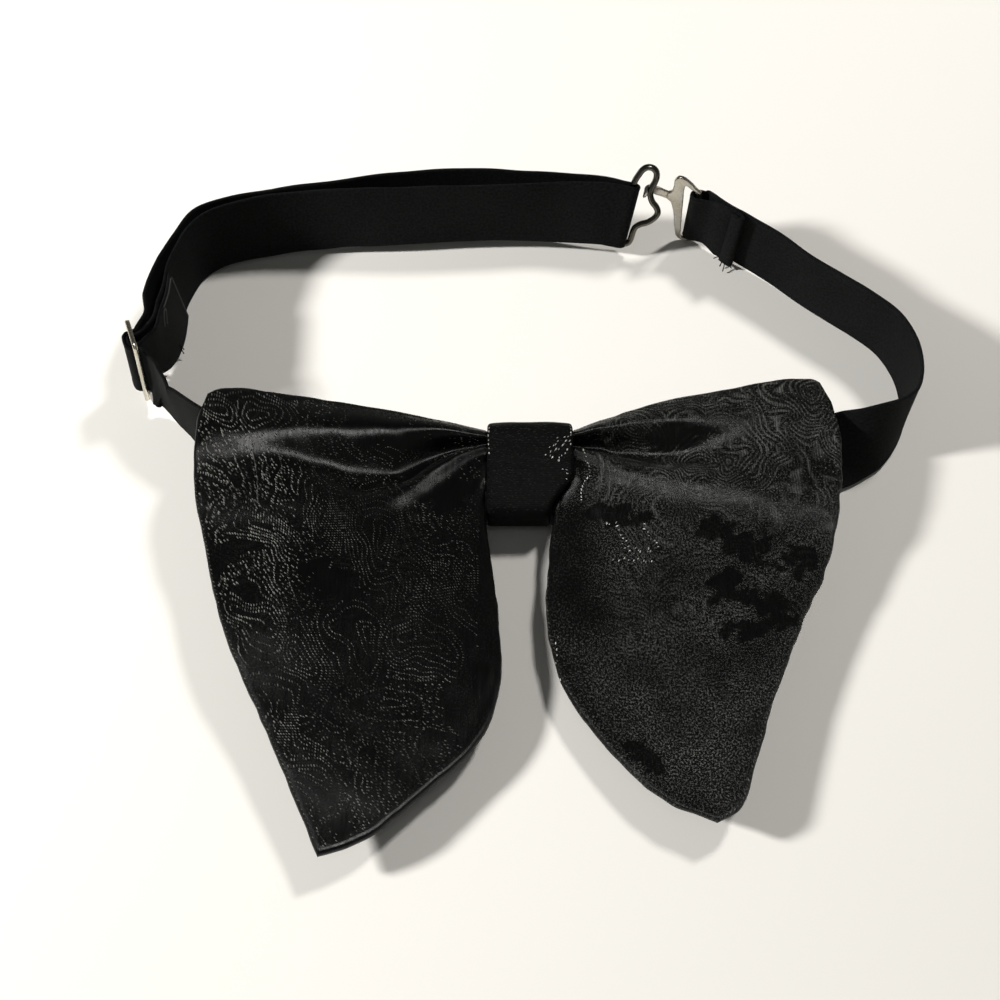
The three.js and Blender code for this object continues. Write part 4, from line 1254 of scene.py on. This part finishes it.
hem_run = [
    (56.0, 78.1, 1.1, 0, 0), (58.0, 76.4, 1, 0, 0), (59.0, 76.0, 0.9, 0, 0), (59.4, 76.9, 0.9, 0, 0),
    (57.6, 78.7, 1, 0, 0), (54.5, 80.7, 1.1, 0, 0),
]
right_run = [
    (52.7, 84.7, 1.2, 0, 0), (56.3, 81.2, 1, 0, 0), (60.6, 78.1, 0.7, 0, 0), (68.8, 71.3, 0.3, 0, 0),
    (77.2, 63.0, 0, 0, 0), (84.4, 56.4, 0, 0, 0), (91.0, 50.6, 0, 0, 0), (96.6, 44.0, 0, 0, 0),
    (99.5, 35.5, 0, 0, 0), (99.6, 26.5, 0, -1, 0), (98.2, 19.8, 0, -4, 0), (95.5, 14.2, 0, -14, 0),
    (91.2, 8.4, 0.15, -33, 0), (85.8, 4.2, 0.2, -55, 0), (79.8, 1.4, 0.2, -66, 0),
    (70.0, -1.4, 0.5, -76, 0), (56.0, -4.4, 1.3, -85, 0), (40.0, -6.6, 2.2, -90, 0),
    (20.0, -7.5, 2.2, -90, 0), (0.0, -7.5, 2.2, -90, 0), (-18.0, -7.5, 2.2, -90, 0),
    (-33.0, -7.6, 2.2, -90, 0), (-46.0, -6.6, 1.4, -80, 0), (-58.0, -3.8, 0.7, -64, 0),
    (-69.0, 0.6, 0.2, -43, 0), (-77.5, 6.0, 0, -22, 0), (-83.8, 12.2, 0, -9, 0), (-88.4, 17.8, 0, -3, 0),
    (-91.9, 21.6, 0.3, 0, 0.2),
]
outer_run = [
    (-100.9, 49.0, 1, 0, 0), (-100.6, 56.5, 0.3, 0, 0), (-98.8, 65.0, 0.1, 0, 0), (-95.2, 72.0, 0.1, 3, 0),
    (-89.8, 78.2, 0.3, 10, 0), (-81.0, 81.0, 0.6, 15, 0), (-70.0, 83.4, 1, 14, 0), (-56.0, 85.6, 1.6, 13, 0),
    (-38.0, 89.0, 2.1, 11, 0), (-18.0, 90.8, 2.3, 10, 0), (0.0, 89.4, 2.3, 12, 0), (12.6, 87.0, 2.3, 17, 0),
]
inner_run = [
    (12.2, 83.4, 2.7, 17, 0), (-1.0, 84.4, 2.5, 11, 0), (-18.0, 84.2, 2.4, 9, 0), (-38.0, 82.8, 2.2, 13, 0),
    (-56.0, 82.2, 1.6, 15, 0), (-70.0, 80.8, 1, 16, 0), (-80.2, 78.4, 0.6, 16, 0), (-87.6, 76.0, 0.3, 11, 0),
    (-92.4, 72.4, 0, 4, 0), (-94.8, 67.0, 0, 1, 0), (-96.2, 60.2, 0.3, 1, 0), (-96.2, 53.0, 0.6, 1, 0),
    (-97.2, 46.5, 1, 0, 0),
]
flap_run = [
    (-96.9, 40.4, 1.2, -2, 0), (-95.6, 44.6, 0.6, 1, 0), (-95.1, 49.4, 0.3, 1, 0), (-95.1, 54.0, 0.3, 1, 0),
    (-95.3, 57.6, 0.4, 1, 0),
]

# Points along and out of the slider's own frame
woven_in = [(-10.4, -3.8, 0.8), (-8.8, -3.6, 1.8), (-7.2, -3.1, 2.1), (-5.6, -2.4, 0.7)]
woven_over = [
    (-4.3, -1.95), (-3.25, -1.35), (-2.85, -0.5), (-2.85, 0.4), (-2.6, 1.2), (-2, 1.75), (-1, 1.95),
    (0, 1.98), (1, 1.95), (2, 1.75), (2.6, 1.2), (2.85, 0.4), (2.85, -0.5), (3.25, -1.35), (4.3, -2.1),
    (5.8, -3.2), (8, -4.9),
]
sewn_in = [(5.6, -6.2), (3.2, -3.7), (2.05, -2), (1.68, -0.8)]
sewn_round = [(1.6, 0), (1.55, 0.5), (1.2, 0.98), (0.6, 1.12), (0, 1.14), (-0.6, 1.12), (-1.2, 0.98),
              (-1.55, 0.5), (-1.6, 0)]
sewn_out = [(-1.55, -1), (-0.8, -2.2), (0.4, -3.8), (1.7, -5.6)]

# %% [markdown]
# ## Frames of the metal pieces
# The slider, the eye and the hook lie askew. So each has axes of its own, along the strap, up its width and
# square to both, and the same axes place the metal and the strap that runs through it.

# %% Frames of the metal pieces


def hardware_frame(origin, along, up):
    """Origin and axes: x along the strap, z up its width, y squared to both."""
    x = unit(np.array(along, float))
    z = np.array(up, float)
    z = unit(z - x * z.dot(x))
    return np.array(origin, float), np.stack([x, np.cross(z, x), z])


def placed(frame_of, points):
    origin, axes = frame_of
    return origin + np.asarray(points, float) @ axes


slider_frame = hardware_frame((-102.1, 33.4, 12), (-0.384, 0.923, 0), (0.119, 0.049, 0.992))
eye_frame = hardware_frame((28.75, 82.05, 2.3), (0.98, -0.18, -0.11), (0.17, 0.33, 0.93))
hook_frame = hardware_frame((48.1, 86.8, 10.1), (-0.987, 0.158, 0), (0, 0, 1))
EYE_BAR_AT = -2.1
WIRE_RADIUS = 0.8
SLOT_BAR_HALF = 0.8
HARDWARE_GAP = 0.3
STRAP_PITCH = 1.0


# %% [markdown]
# ## Stations along the ribbon
# A station is the middle of the ribbon, its upward direction, its width and its curl. Runs of stations from
# the tables and from the metal's frames are joined, and finer stations are laid between them on a smooth
# curve.

# %% Strap stations
LEAN_LIFT = 0.5
TURN_ROUND_BAR = 1.82
TURN_ROUND_WIRE = 1.68
WIDTH_IN_HOOK = 16.2
WIDTH_IN_SLIDER = 17.4


def run_stations(rows, outside):
    rows = np.array(rows, float)
    low = rows[:, :3]
    shares = np.linspace(0, 1, len(rows))
    nudge = 1e-4
    ahead = spline_at(low, np.minimum(shares + nudge, 1)) - spline_at(low, np.maximum(shares - nudge, 0))
    outward = unit(np.stack([-ahead[:, 1], ahead[:, 0], 0 * shares], 1)) * outside
    lean = np.radians(rows[:, 3:4])
    up = np.array([0, 0, 1.0]) * np.cos(lean) + outward * np.sin(lean)
    lift = np.abs(np.sin(lean)) * LEAN_LIFT * np.array([0, 0, 1.0])
    middle = low + lift + up * (STRAP_WIDTH / 2)
    curls = rows[:, 4] * outside
    return [dict(middle=m, up=u, width=STRAP_WIDTH, curl=c) for m, u, c in zip(middle, up, curls)]


def stations_in(frame_of, points, lift=0.0, width=STRAP_WIDTH):
    up = frame_of[1][2]
    made = []
    for point in points:
        middle = placed(frame_of, (point[0], point[1], lift))
        made.append(dict(middle=middle, up=up, width=width, curl=point[2] if len(point) > 2 else 0))
    return made


def turn_points(radius, start, end, steps, centre=(0, 0)):
    angles = np.radians(np.linspace(start, end, steps + 1))
    return [(centre[0] + radius * math.cos(a), centre[1] + radius * math.sin(a)) for a in angles]


def strap_stations():
    wire_turn = turn_points(TURN_ROUND_WIRE, 90, -90, 8, (EYE_BAR_AT, 0))
    round_wire = [(-8, 1.75), (-5, 1.65), *wire_turn, (-5, -1.65), (-8, -1.75)]
    round_hook = [(-3.6, 2.3), *turn_points(TURN_ROUND_BAR, 100, -100, 8), (-2.5, -1.4)]
    return [
        *run_stations(hem_run, -1),
        *stations_in(hook_frame, round_hook, 0.1, WIDTH_IN_HOOK),
        *run_stations(right_run, 1),
        *stations_in(slider_frame, woven_in + woven_over, 0, WIDTH_IN_SLIDER),
        *run_stations(outer_run, 1),
        *stations_in(eye_frame, round_wire, STRAP_WIDTH / 2),
        *run_stations(inner_run, -1),
        *stations_in(slider_frame, sewn_in + sewn_round + sewn_out, 0, WIDTH_IN_SLIDER),
        *run_stations(flap_run, 1),
    ]


stations = strap_stations()
key = {name: np.array([s[name] for s in stations], float) for name in ("middle", "up", "width", "curl")}
last = len(stations) - 1
knots = np.linspace(0, 1, last + 1)
steps = np.linalg.norm(np.diff(key["middle"], axis=0), axis=1)
parts = np.maximum(np.ceil(steps / STRAP_PITCH), 1).astype(int)
fine_t = np.concatenate([(i + np.arange(n) / n) / last for i, n in enumerate(parts)] + [[1.0]])
strap_line = spline_at(key["middle"], fine_t)
strap_up = unit(spline_at(key["up"], fine_t))
strap_width = np.interp(fine_t, knots, key["width"])
strap_curl = np.interp(fine_t, knots, key["curl"])
strap_run = lengths_along(strap_line)
print("strap length", round(strap_run[-1], 1), "mm,", len(strap_line), "stations")

# %% [markdown]
# ## The ribbon
# Across its width the ribbon is flat, with a slightly thicker selvedge along both edges. Its edges are never
# quite straight, so they wander by a fraction of a millimetre.

# %% Strap
STRAP_WANDER = 0.12
SELVEDGE = 0.25
SELVEDGE_AT = 0.465

shares = np.array([-0.5, -0.492, -0.478, -0.46, -0.435, -0.4, -0.34, -0.27, -0.2, -0.12, -0.04, 0.04, 0.12,
                   0.2, 0.28, 0.35, 0.4, 0.435, 0.46, 0.478, 0.492, 0.5])
along = unit(np.gradient(strap_line, axis=0))
up = unit(strap_up - along * np.sum(strap_up * along, 1, keepdims=True))
left = np.cross(up, along)
aside = strap_curl[:, None] * np.clip((-1 / 6 - shares) * 3, 0, 1)[None]
wander = STRAP_WANDER * ripples(strap_run[:, None] + 0 * shares, np.sign(shares) * 50, 14, 8)
spread = shares[None] * strap_width[:, None] + np.where(np.abs(shares) > 0.3, wander, 0) * shares * 2
strap_middle = strap_line[:, None] + up[:, None] * spread[..., None] + left[:, None] * aside[..., None]
rim = np.clip((0.5 - np.abs(shares)) / 0.02, 0, 1)
selvedge = 1 + SELVEDGE * np.exp(-(((np.abs(shares) - SELVEDGE_AT) / 0.02) ** 2))
wall = 0.5 * STRAP_WALL * np.sqrt(1 - (1 - rim) ** 2) * selvedge
ends = np.clip(np.minimum(strap_run, strap_run[-1] - strap_run) / 0.5, 0, 1)
strap_offset = left[:, None] * (wall[None] * ends[:, None])[..., None]
points, faces, place = closed_sheet(strap_middle, strap_offset)
strap_flat = np.stack(np.broadcast_arrays(strap_run[:, None], shares[None] * STRAP_WIDTH), -1)
strap = cloth_piece("strap_ribbon", points, faces[:, ::-1], ribbon, strap_flat.reshape(-1, 2)[place])
print("strap", count_triangles(strap), "triangles")

# %% [markdown]
# ## Wire eye
# The eye is a bent nickel wire. A round section swept along a smooth path is what Geometry Nodes do with
# Curve to Mesh, so the wire is one small tree with its radius as an input.

# %% Sweep tree
wire_tree = Tree("wire", Radius="Float", Sides="Int")
line = wire_tree.node("GeometryNodeMeshToCurve")
ring = wire_tree.node("GeometryNodeCurvePrimitiveCircle")
sweep = wire_tree.node("GeometryNodeCurveToMesh", Fill_Caps=True)
wire_tree.link(wire_tree.start["Geometry"], line.inputs["Mesh"])
wire_tree.link(wire_tree.start["Radius"], ring.inputs["Radius"])
wire_tree.link(wire_tree.start["Sides"], ring.inputs["Resolution"])
wire_tree.link(line.outputs["Curve"], sweep.inputs["Curve"])
wire_tree.link(ring.outputs["Curve"], sweep.inputs["Profile Curve"])
wire_tree.end(sweep.outputs["Mesh"])


def wires(name, paths, radius, sides, material):
    """A piece of round wires or threads along paths of points in millimetres."""
    starts = np.cumsum([0] + [len(path) for path in paths])
    edges = [(i, i + 1) for i in range(starts[-1] - 1) if i + 1 not in starts]
    mesh = new_mesh(name + "_path", np.concatenate(paths), edges)
    piece = wire_tree.grow(name, mesh, Radius=radius * MM, Sides=sides, Material=material)
    print(name, len(paths), "paths,", count_triangles(piece), "triangles")
    return piece


# %% Eye
# Under the lamps the wire looks a little thicker than the solid's
DRAWN_WIRE = 1.12

eye_wire = [
    (EYE_BAR_AT, 9.3), (EYE_BAR_AT, 14), (EYE_BAR_AT, 18.6), (-1.9, 20.4), (-1.3, 22.2), (-0.6, 23.8),
    (0.5, 24.7), (1.9, 24.8), (3.1, 24), (3.6, 22.6), (3.5, 21), (3.1, 19.6), (3, 18.2), (3.3, 16.8),
    (4.3, 15.2), (5.7, 14), (6.5, 12.7), (6.4, 11.4), (5.6, 10.1), (4.2, 8.8), (2.6, 7.9), (1.5, 6.8),
    (1.15, 5.3), (1.1, 3.9), (1, 2.6), (0.6, 1.6), (-0.4, 1.1), (-1.5, 1.5), (EYE_BAR_AT, 2.8),
    (EYE_BAR_AT, 5.5), (EYE_BAR_AT, 8.9),
]
eye_path = evenly(placed(eye_frame, [(a, 0, b) for a, b in eye_wire]), spacing=0.3)
eye_piece = wires("wire_eye", [eye_path], DRAWN_WIRE * WIRE_RADIUS, sides=16, material=shaded_wire_nickel)

# %% [markdown]
# ## Hem stitches and loose threads
# The strap's sewn end shows a peak of pale stitches and the pale ridge of its hem, and a few cut threads
# stick out of both hems. The stitches are drawn on the ribbon's own face, as distances from its end and
# shares of its width. The cut threads are short free paths, and the wire's tree sweeps them all.

# %% Hem threads
HEM_THREAD = 0.26
LOOSE_THREAD = 0.16
THREAD_STEP = 0.4


def on_ribbon(spots):
    """Points on the strap's inner face: millimetres before its sewn end, and share of its width."""
    made = []
    for back, share in spots:
        i = int(np.argmin(np.abs(strap_run[-1] - back - strap_run)))
        made.append(strap_line[i] + up[i] * share * strap_width[i] - left[i] * 0.55 * STRAP_WALL)
    return made


hem_paths = [
    on_ribbon([(16.0, 0.24), (14.6, 0.34), (13.2, 0.42), (12.4, 0.40), (12.8, 0.3), (13.6, 0.2)]),
    on_ribbon([(1.2, -0.44), (1.0, -0.2), (1.3, 0.1), (1.1, 0.44)]),
    on_ribbon([(12.6, 0.47), (9.4, 0.475), (6.0, 0.47), (2.0, 0.475)]),
]
loose_paths = [
    [(-95.5, 46.4, 3), (-94.8, 45.4, 2.6), (-94.6, 44.6, 2), (-94.1, 44.0, 1.4)],
    [(-95.4, 45.8, 3.4), (-94.6, 45.2, 3), (-93.9, 44.6, 2.4)],
    [(54.3, 78.3, 1.6), (55.2, 78.4, 2.2), (55.9, 77.6, 2.8)],
    [(56.7, 74.3, 0.6), (57.1, 75.6, 1.4), (57.3, 77.0, 2.4)],
    [(59.4, 75.5, 0.6), (58.5, 76.6, 1.4), (57.5, 76.4, 2.2)],
    [(56.0, 76.1, 0.7), (56.6, 77.2, 1.4), (56.7, 78.2, 2.4)],
]
hem_paths, loose_paths = ([evenly(path, THREAD_STEP) for path in paths] for paths in (hem_paths, loose_paths))
hem_stitches = wires("hem_stitches", hem_paths, HEM_THREAD, sides=6, material=hem_thread)
loose_threads = wires("loose_threads", loose_paths, LOOSE_THREAD, sides=6, material=ribbon)

# %% [markdown]
# ## Plates with rounded edges
# The hook and the slider are stamped from sheet and tumbled, which rounds their edges. A plate is built from
# its outlines: each ring of points steps in a little as it climbs over the edge, and the flat faces are
# filled between the last rings.

# %% Outlines


def ring_normals(ring):
    ahead = unit(np.roll(ring, -1, 0) - np.roll(ring, 1, 0))
    return np.stack([ahead[:, 1], -ahead[:, 0]], 1)


def signed_area(ring):
    x, y = ring.T
    return 0.5 * np.sum(x * np.roll(y, -1) - np.roll(x, -1) * y)


def smooth_ring(points, spacing):
    """A closed outline through the points, softened at its corners."""
    loop = np.array(points, float)
    padded_loop = np.vstack([loop[-2:], loop, loop[:3]])
    t_low, t_high = 2 / (len(padded_loop) - 1), (2 + len(loop)) / (len(padded_loop) - 1)
    t = np.linspace(t_low, t_high, CURVE_STEPS * len(loop) + 1)
    fine = spline_at(padded_loop, t)
    run = lengths_along(fine)
    return between(fine, run, np.linspace(0, run[-1], int(run[-1] / spacing) + 1)[:-1])


# %% Plate maker
PLATE = 1.2
EDGE_RADIUS = 0.42
EDGE_LAYERS = 7


def plate(name, rings, frame_of, material):
    """A plate with rounded edges. The rings are closed outlines in along and up: the rim, then any slots."""
    points, faces, caps = [], [], {1: [], -1: []}
    angles = np.radians(np.linspace(90, -90, EDGE_LAYERS))
    for k, ring in enumerate(rings):
        if (signed_area(ring) > 0) != (k == 0):
            ring = ring[::-1]
        normal = ring_normals(ring)
        layers = []
        for angle in angles:
            inset = EDGE_RADIUS * (1 - math.cos(angle))
            height = math.copysign(PLATE / 2 - EDGE_RADIUS, angle) if abs(angle) > 1e-6 else 0
            flat = ring - normal * inset
            heights = np.full(len(flat), height + EDGE_RADIUS * math.sin(angle))
            layers.append(np.stack([flat[:, 0], heights, flat[:, 1]], 1))
        first = len(points)
        points.extend(np.concatenate(layers))
        index = first + np.arange(len(angles) * len(ring)).reshape(len(angles), len(ring))
        index = np.hstack([index, index[:, :1]])
        faces.extend(quads(index).tolist())
        caps[1].append(index[0, :-1])
        caps[-1].append(index[-1, :-1])
    points = np.array(points)
    for side, loops in caps.items():
        outline = [[Vector((points[i][0], points[i][2], 0)) for i in loop] for loop in loops]
        numbers = np.concatenate(loops)
        for triangle in tessellate_polygon(outline):
            faces.append([int(numbers[i]) for i in triangle])
    return mesh_piece(name, placed(frame_of, points), faces, material)


def mesh_piece(name, points, faces, material):
    """A piece from mixed faces, with its normals turned outwards."""
    mesh = new_mesh(name, points, faces=faces)
    work = bmesh.new()
    work.from_mesh(mesh)
    bmesh.ops.remove_doubles(work, verts=work.verts, dist=1e-7)
    bmesh.ops.recalc_face_normals(work, faces=work.faces)
    work.to_mesh(mesh)
    work.free()
    mesh.materials.append(material)
    mesh.shade_smooth()
    return add_object(name, mesh)


# %% [markdown]
# ## Hook
# The hook is a slotted plate, and a narrow tongue from its edge curls round the notch in the eye's wire. The
# plate is made from two outlines. The tongue's section is a rounded box that narrows towards the tip, laid
# along a line that leaves the plate and turns round the wire.

# %% Hook plate
hook_outline = [
    (-SLOT_BAR_HALF, -9.6), (0.2, -10), (1.9, -9.9), (3.8, -8.6), (5, -4.9), (5.7, -0.9), (6.4, 2.1),
    (7.4, 4.7), (8.6, 5.8), (8.6, 7.8), (7.5, 8.6), (7.2, 10.5), (7.2, 12.6), (6.2, 14), (4.6, 13.8),
    (2.4, 12.2), (0.4, 10.1), (-SLOT_BAR_HALF, 9),
]
hook_slot = [
    (SLOT_BAR_HALF, -8.6), (2.2, -8.6), (2.7, -7.6), (3, -4.6), (3.4, 0), (3.8, 5.5), (4.1, 9.8), (3.8, 11.1),
    (2.4, 10.1), (SLOT_BAR_HALF, 8.7),
]
hook_rings = [smooth_ring(ring, spacing=0.35) for ring in (hook_outline, hook_slot)]
hook_plate = plate("hook_plate", hook_rings, hook_frame, plate_nickel)
print("hook plate", count_triangles(hook_plate), "triangles")

# %% Hook tongue
NOTCH = np.array([13.2, 1.55, 8.3])
NOTCH_UP = np.array([-0.09, -0.36, 0.93])
TONGUE_WIDTH = 2.4
TONGUE_WALL = 0.8
TONGUE_SLACK = 0.15
TONGUE_STATIONS = 70
TONGUE_SIDES = 24
TIP_TAPER = 0.06
TIP_WIDTH = 0.35
SQUARENESS = 0.35
tongue_turn = WIRE_RADIUS + HARDWARE_GAP + TONGUE_WALL / 2 + TONGUE_SLACK
tongue_key = [(7.4, 0, 6.5), (9.4, 0, 7.2), (11.4, 0, 7.9)]
tongue_key += [(a, n, NOTCH[2]) for a, n in turn_points(tongue_turn, -90, 40, 6, NOTCH)]
tongue_t = np.linspace(0, 1, TONGUE_STATIONS)
tongue_line = spline_at(tongue_key, tongue_t)
blend_up = np.clip((tongue_t * (len(tongue_key) - 1) - 1) / 1.5, 0, 1)[:, None]
tongue_up = np.array([0, 0, 1.0]) * (1 - blend_up) + NOTCH_UP * blend_up
ahead = unit(np.gradient(tongue_line, axis=0))
tongue_up = unit(tongue_up - ahead * np.sum(tongue_up * ahead, 1, keepdims=True))
tongue_side = np.cross(tongue_up, ahead)
tip_share = np.clip((1 - tongue_t) / TIP_TAPER, 0, 1)
tip_width = TONGUE_WIDTH * (TIP_WIDTH + (1 - TIP_WIDTH) * np.sqrt(1 - (1 - tip_share) ** 2))
ring_angles = np.linspace(0, 2 * math.pi, TONGUE_SIDES + 1)[:-1]
box_x, box_y = (np.sign(f) * np.abs(f) ** SQUARENESS for f in (np.cos(ring_angles), np.sin(ring_angles)))
tongue = tongue_line[:, None] + tongue_up[:, None] * (0.5 * tip_width[:, None] * box_x)[..., None]
tongue = tongue + tongue_side[:, None] * (0.5 * TONGUE_WALL * box_y)[None, :, None]
count, sides = tongue.shape[:2]
index = np.arange(count * sides).reshape(count, sides)
tongue_faces = quads(np.hstack([index, index[:, :1]])).tolist()
tongue_faces += [index[0][::-1].tolist(), index[-1].tolist()]
tongue_points = placed(hook_frame, tongue.reshape(-1, 3))
hook_tongue = mesh_piece("hook_tongue", tongue_points, tongue_faces, plate_nickel)
print("hook tongue", count_triangles(hook_tongue), "triangles")

# %% [markdown]
# ## Slider
# The slider is a plate with two slots, and the bar between them holds the strap by friction.

# %% Slider
SLIDER_LENGTH = 23.4
SLIDER_WIDTH = 10.4
SLOT_LENGTH = 20.2
END_BAR = 1.4
MIDDLE_BAR = 1.6
RIM_CORNER = 2.0
SLOT_CORNER = 0.7


def rounded_rectangle(width, height, radius, at=0.0):
    line = []
    for sx, sy, start in ((1, 1, 0), (-1, 1, 90), (-1, -1, 180), (1, -1, 270)):
        for angle in np.radians(np.linspace(start, start + 90, 7)):
            line.append((at + sx * (width / 2 - radius) + radius * math.cos(angle),
                         sy * (height / 2 - radius) + radius * math.sin(angle)))
    return np.array(line)


slot_width = (SLIDER_WIDTH - 2 * END_BAR - MIDDLE_BAR) / 2
slider_rings = [rounded_rectangle(SLIDER_WIDTH, SLIDER_LENGTH, RIM_CORNER)]
for side in (-1, 1):
    slot_at = side * (MIDDLE_BAR + slot_width) / 2
    slider_rings.append(rounded_rectangle(slot_width, SLOT_LENGTH, SLOT_CORNER, slot_at))
slider_piece = plate("slider_plate", slider_rings, slider_frame, slider_nickel)
print("slider", count_triangles(slider_piece), "triangles")

# %% [markdown]
# ## What rides on what
# Nothing on a bow tie turns on a joint, so every piece rides on the one body. A piece that stands for a
# CAD node hides that node.

# %% Pieces on the body
for piece, nodes, slot in (
    (bow, ("bow_wings",), "brocade"),
    (wing_figures[0], (), "brocade"),
    (wing_figures[1], (), "brocade"),
    (seams, (), "brocade"),
    (glint_floats, (), "brocade"),
    (band_weave, (), "band_cloth"),
    (band, ("knot_band",), "band_cloth"),
    (strap, ("neck_strap",), "strap_webbing"),
    (hem_stitches, (), "strap_webbing"),
    (loose_threads, (), "strap_webbing"),
    (slider_piece, ("slider",), "slider_metal"),
    (eye_piece, ("eye",), "wire_metal"),
    (hook_plate, ("hook",), "plate_metal"),
    (hook_tongue, (), "plate_metal"),
):
    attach(piece, "root")
    if nodes:
        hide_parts(*nodes)
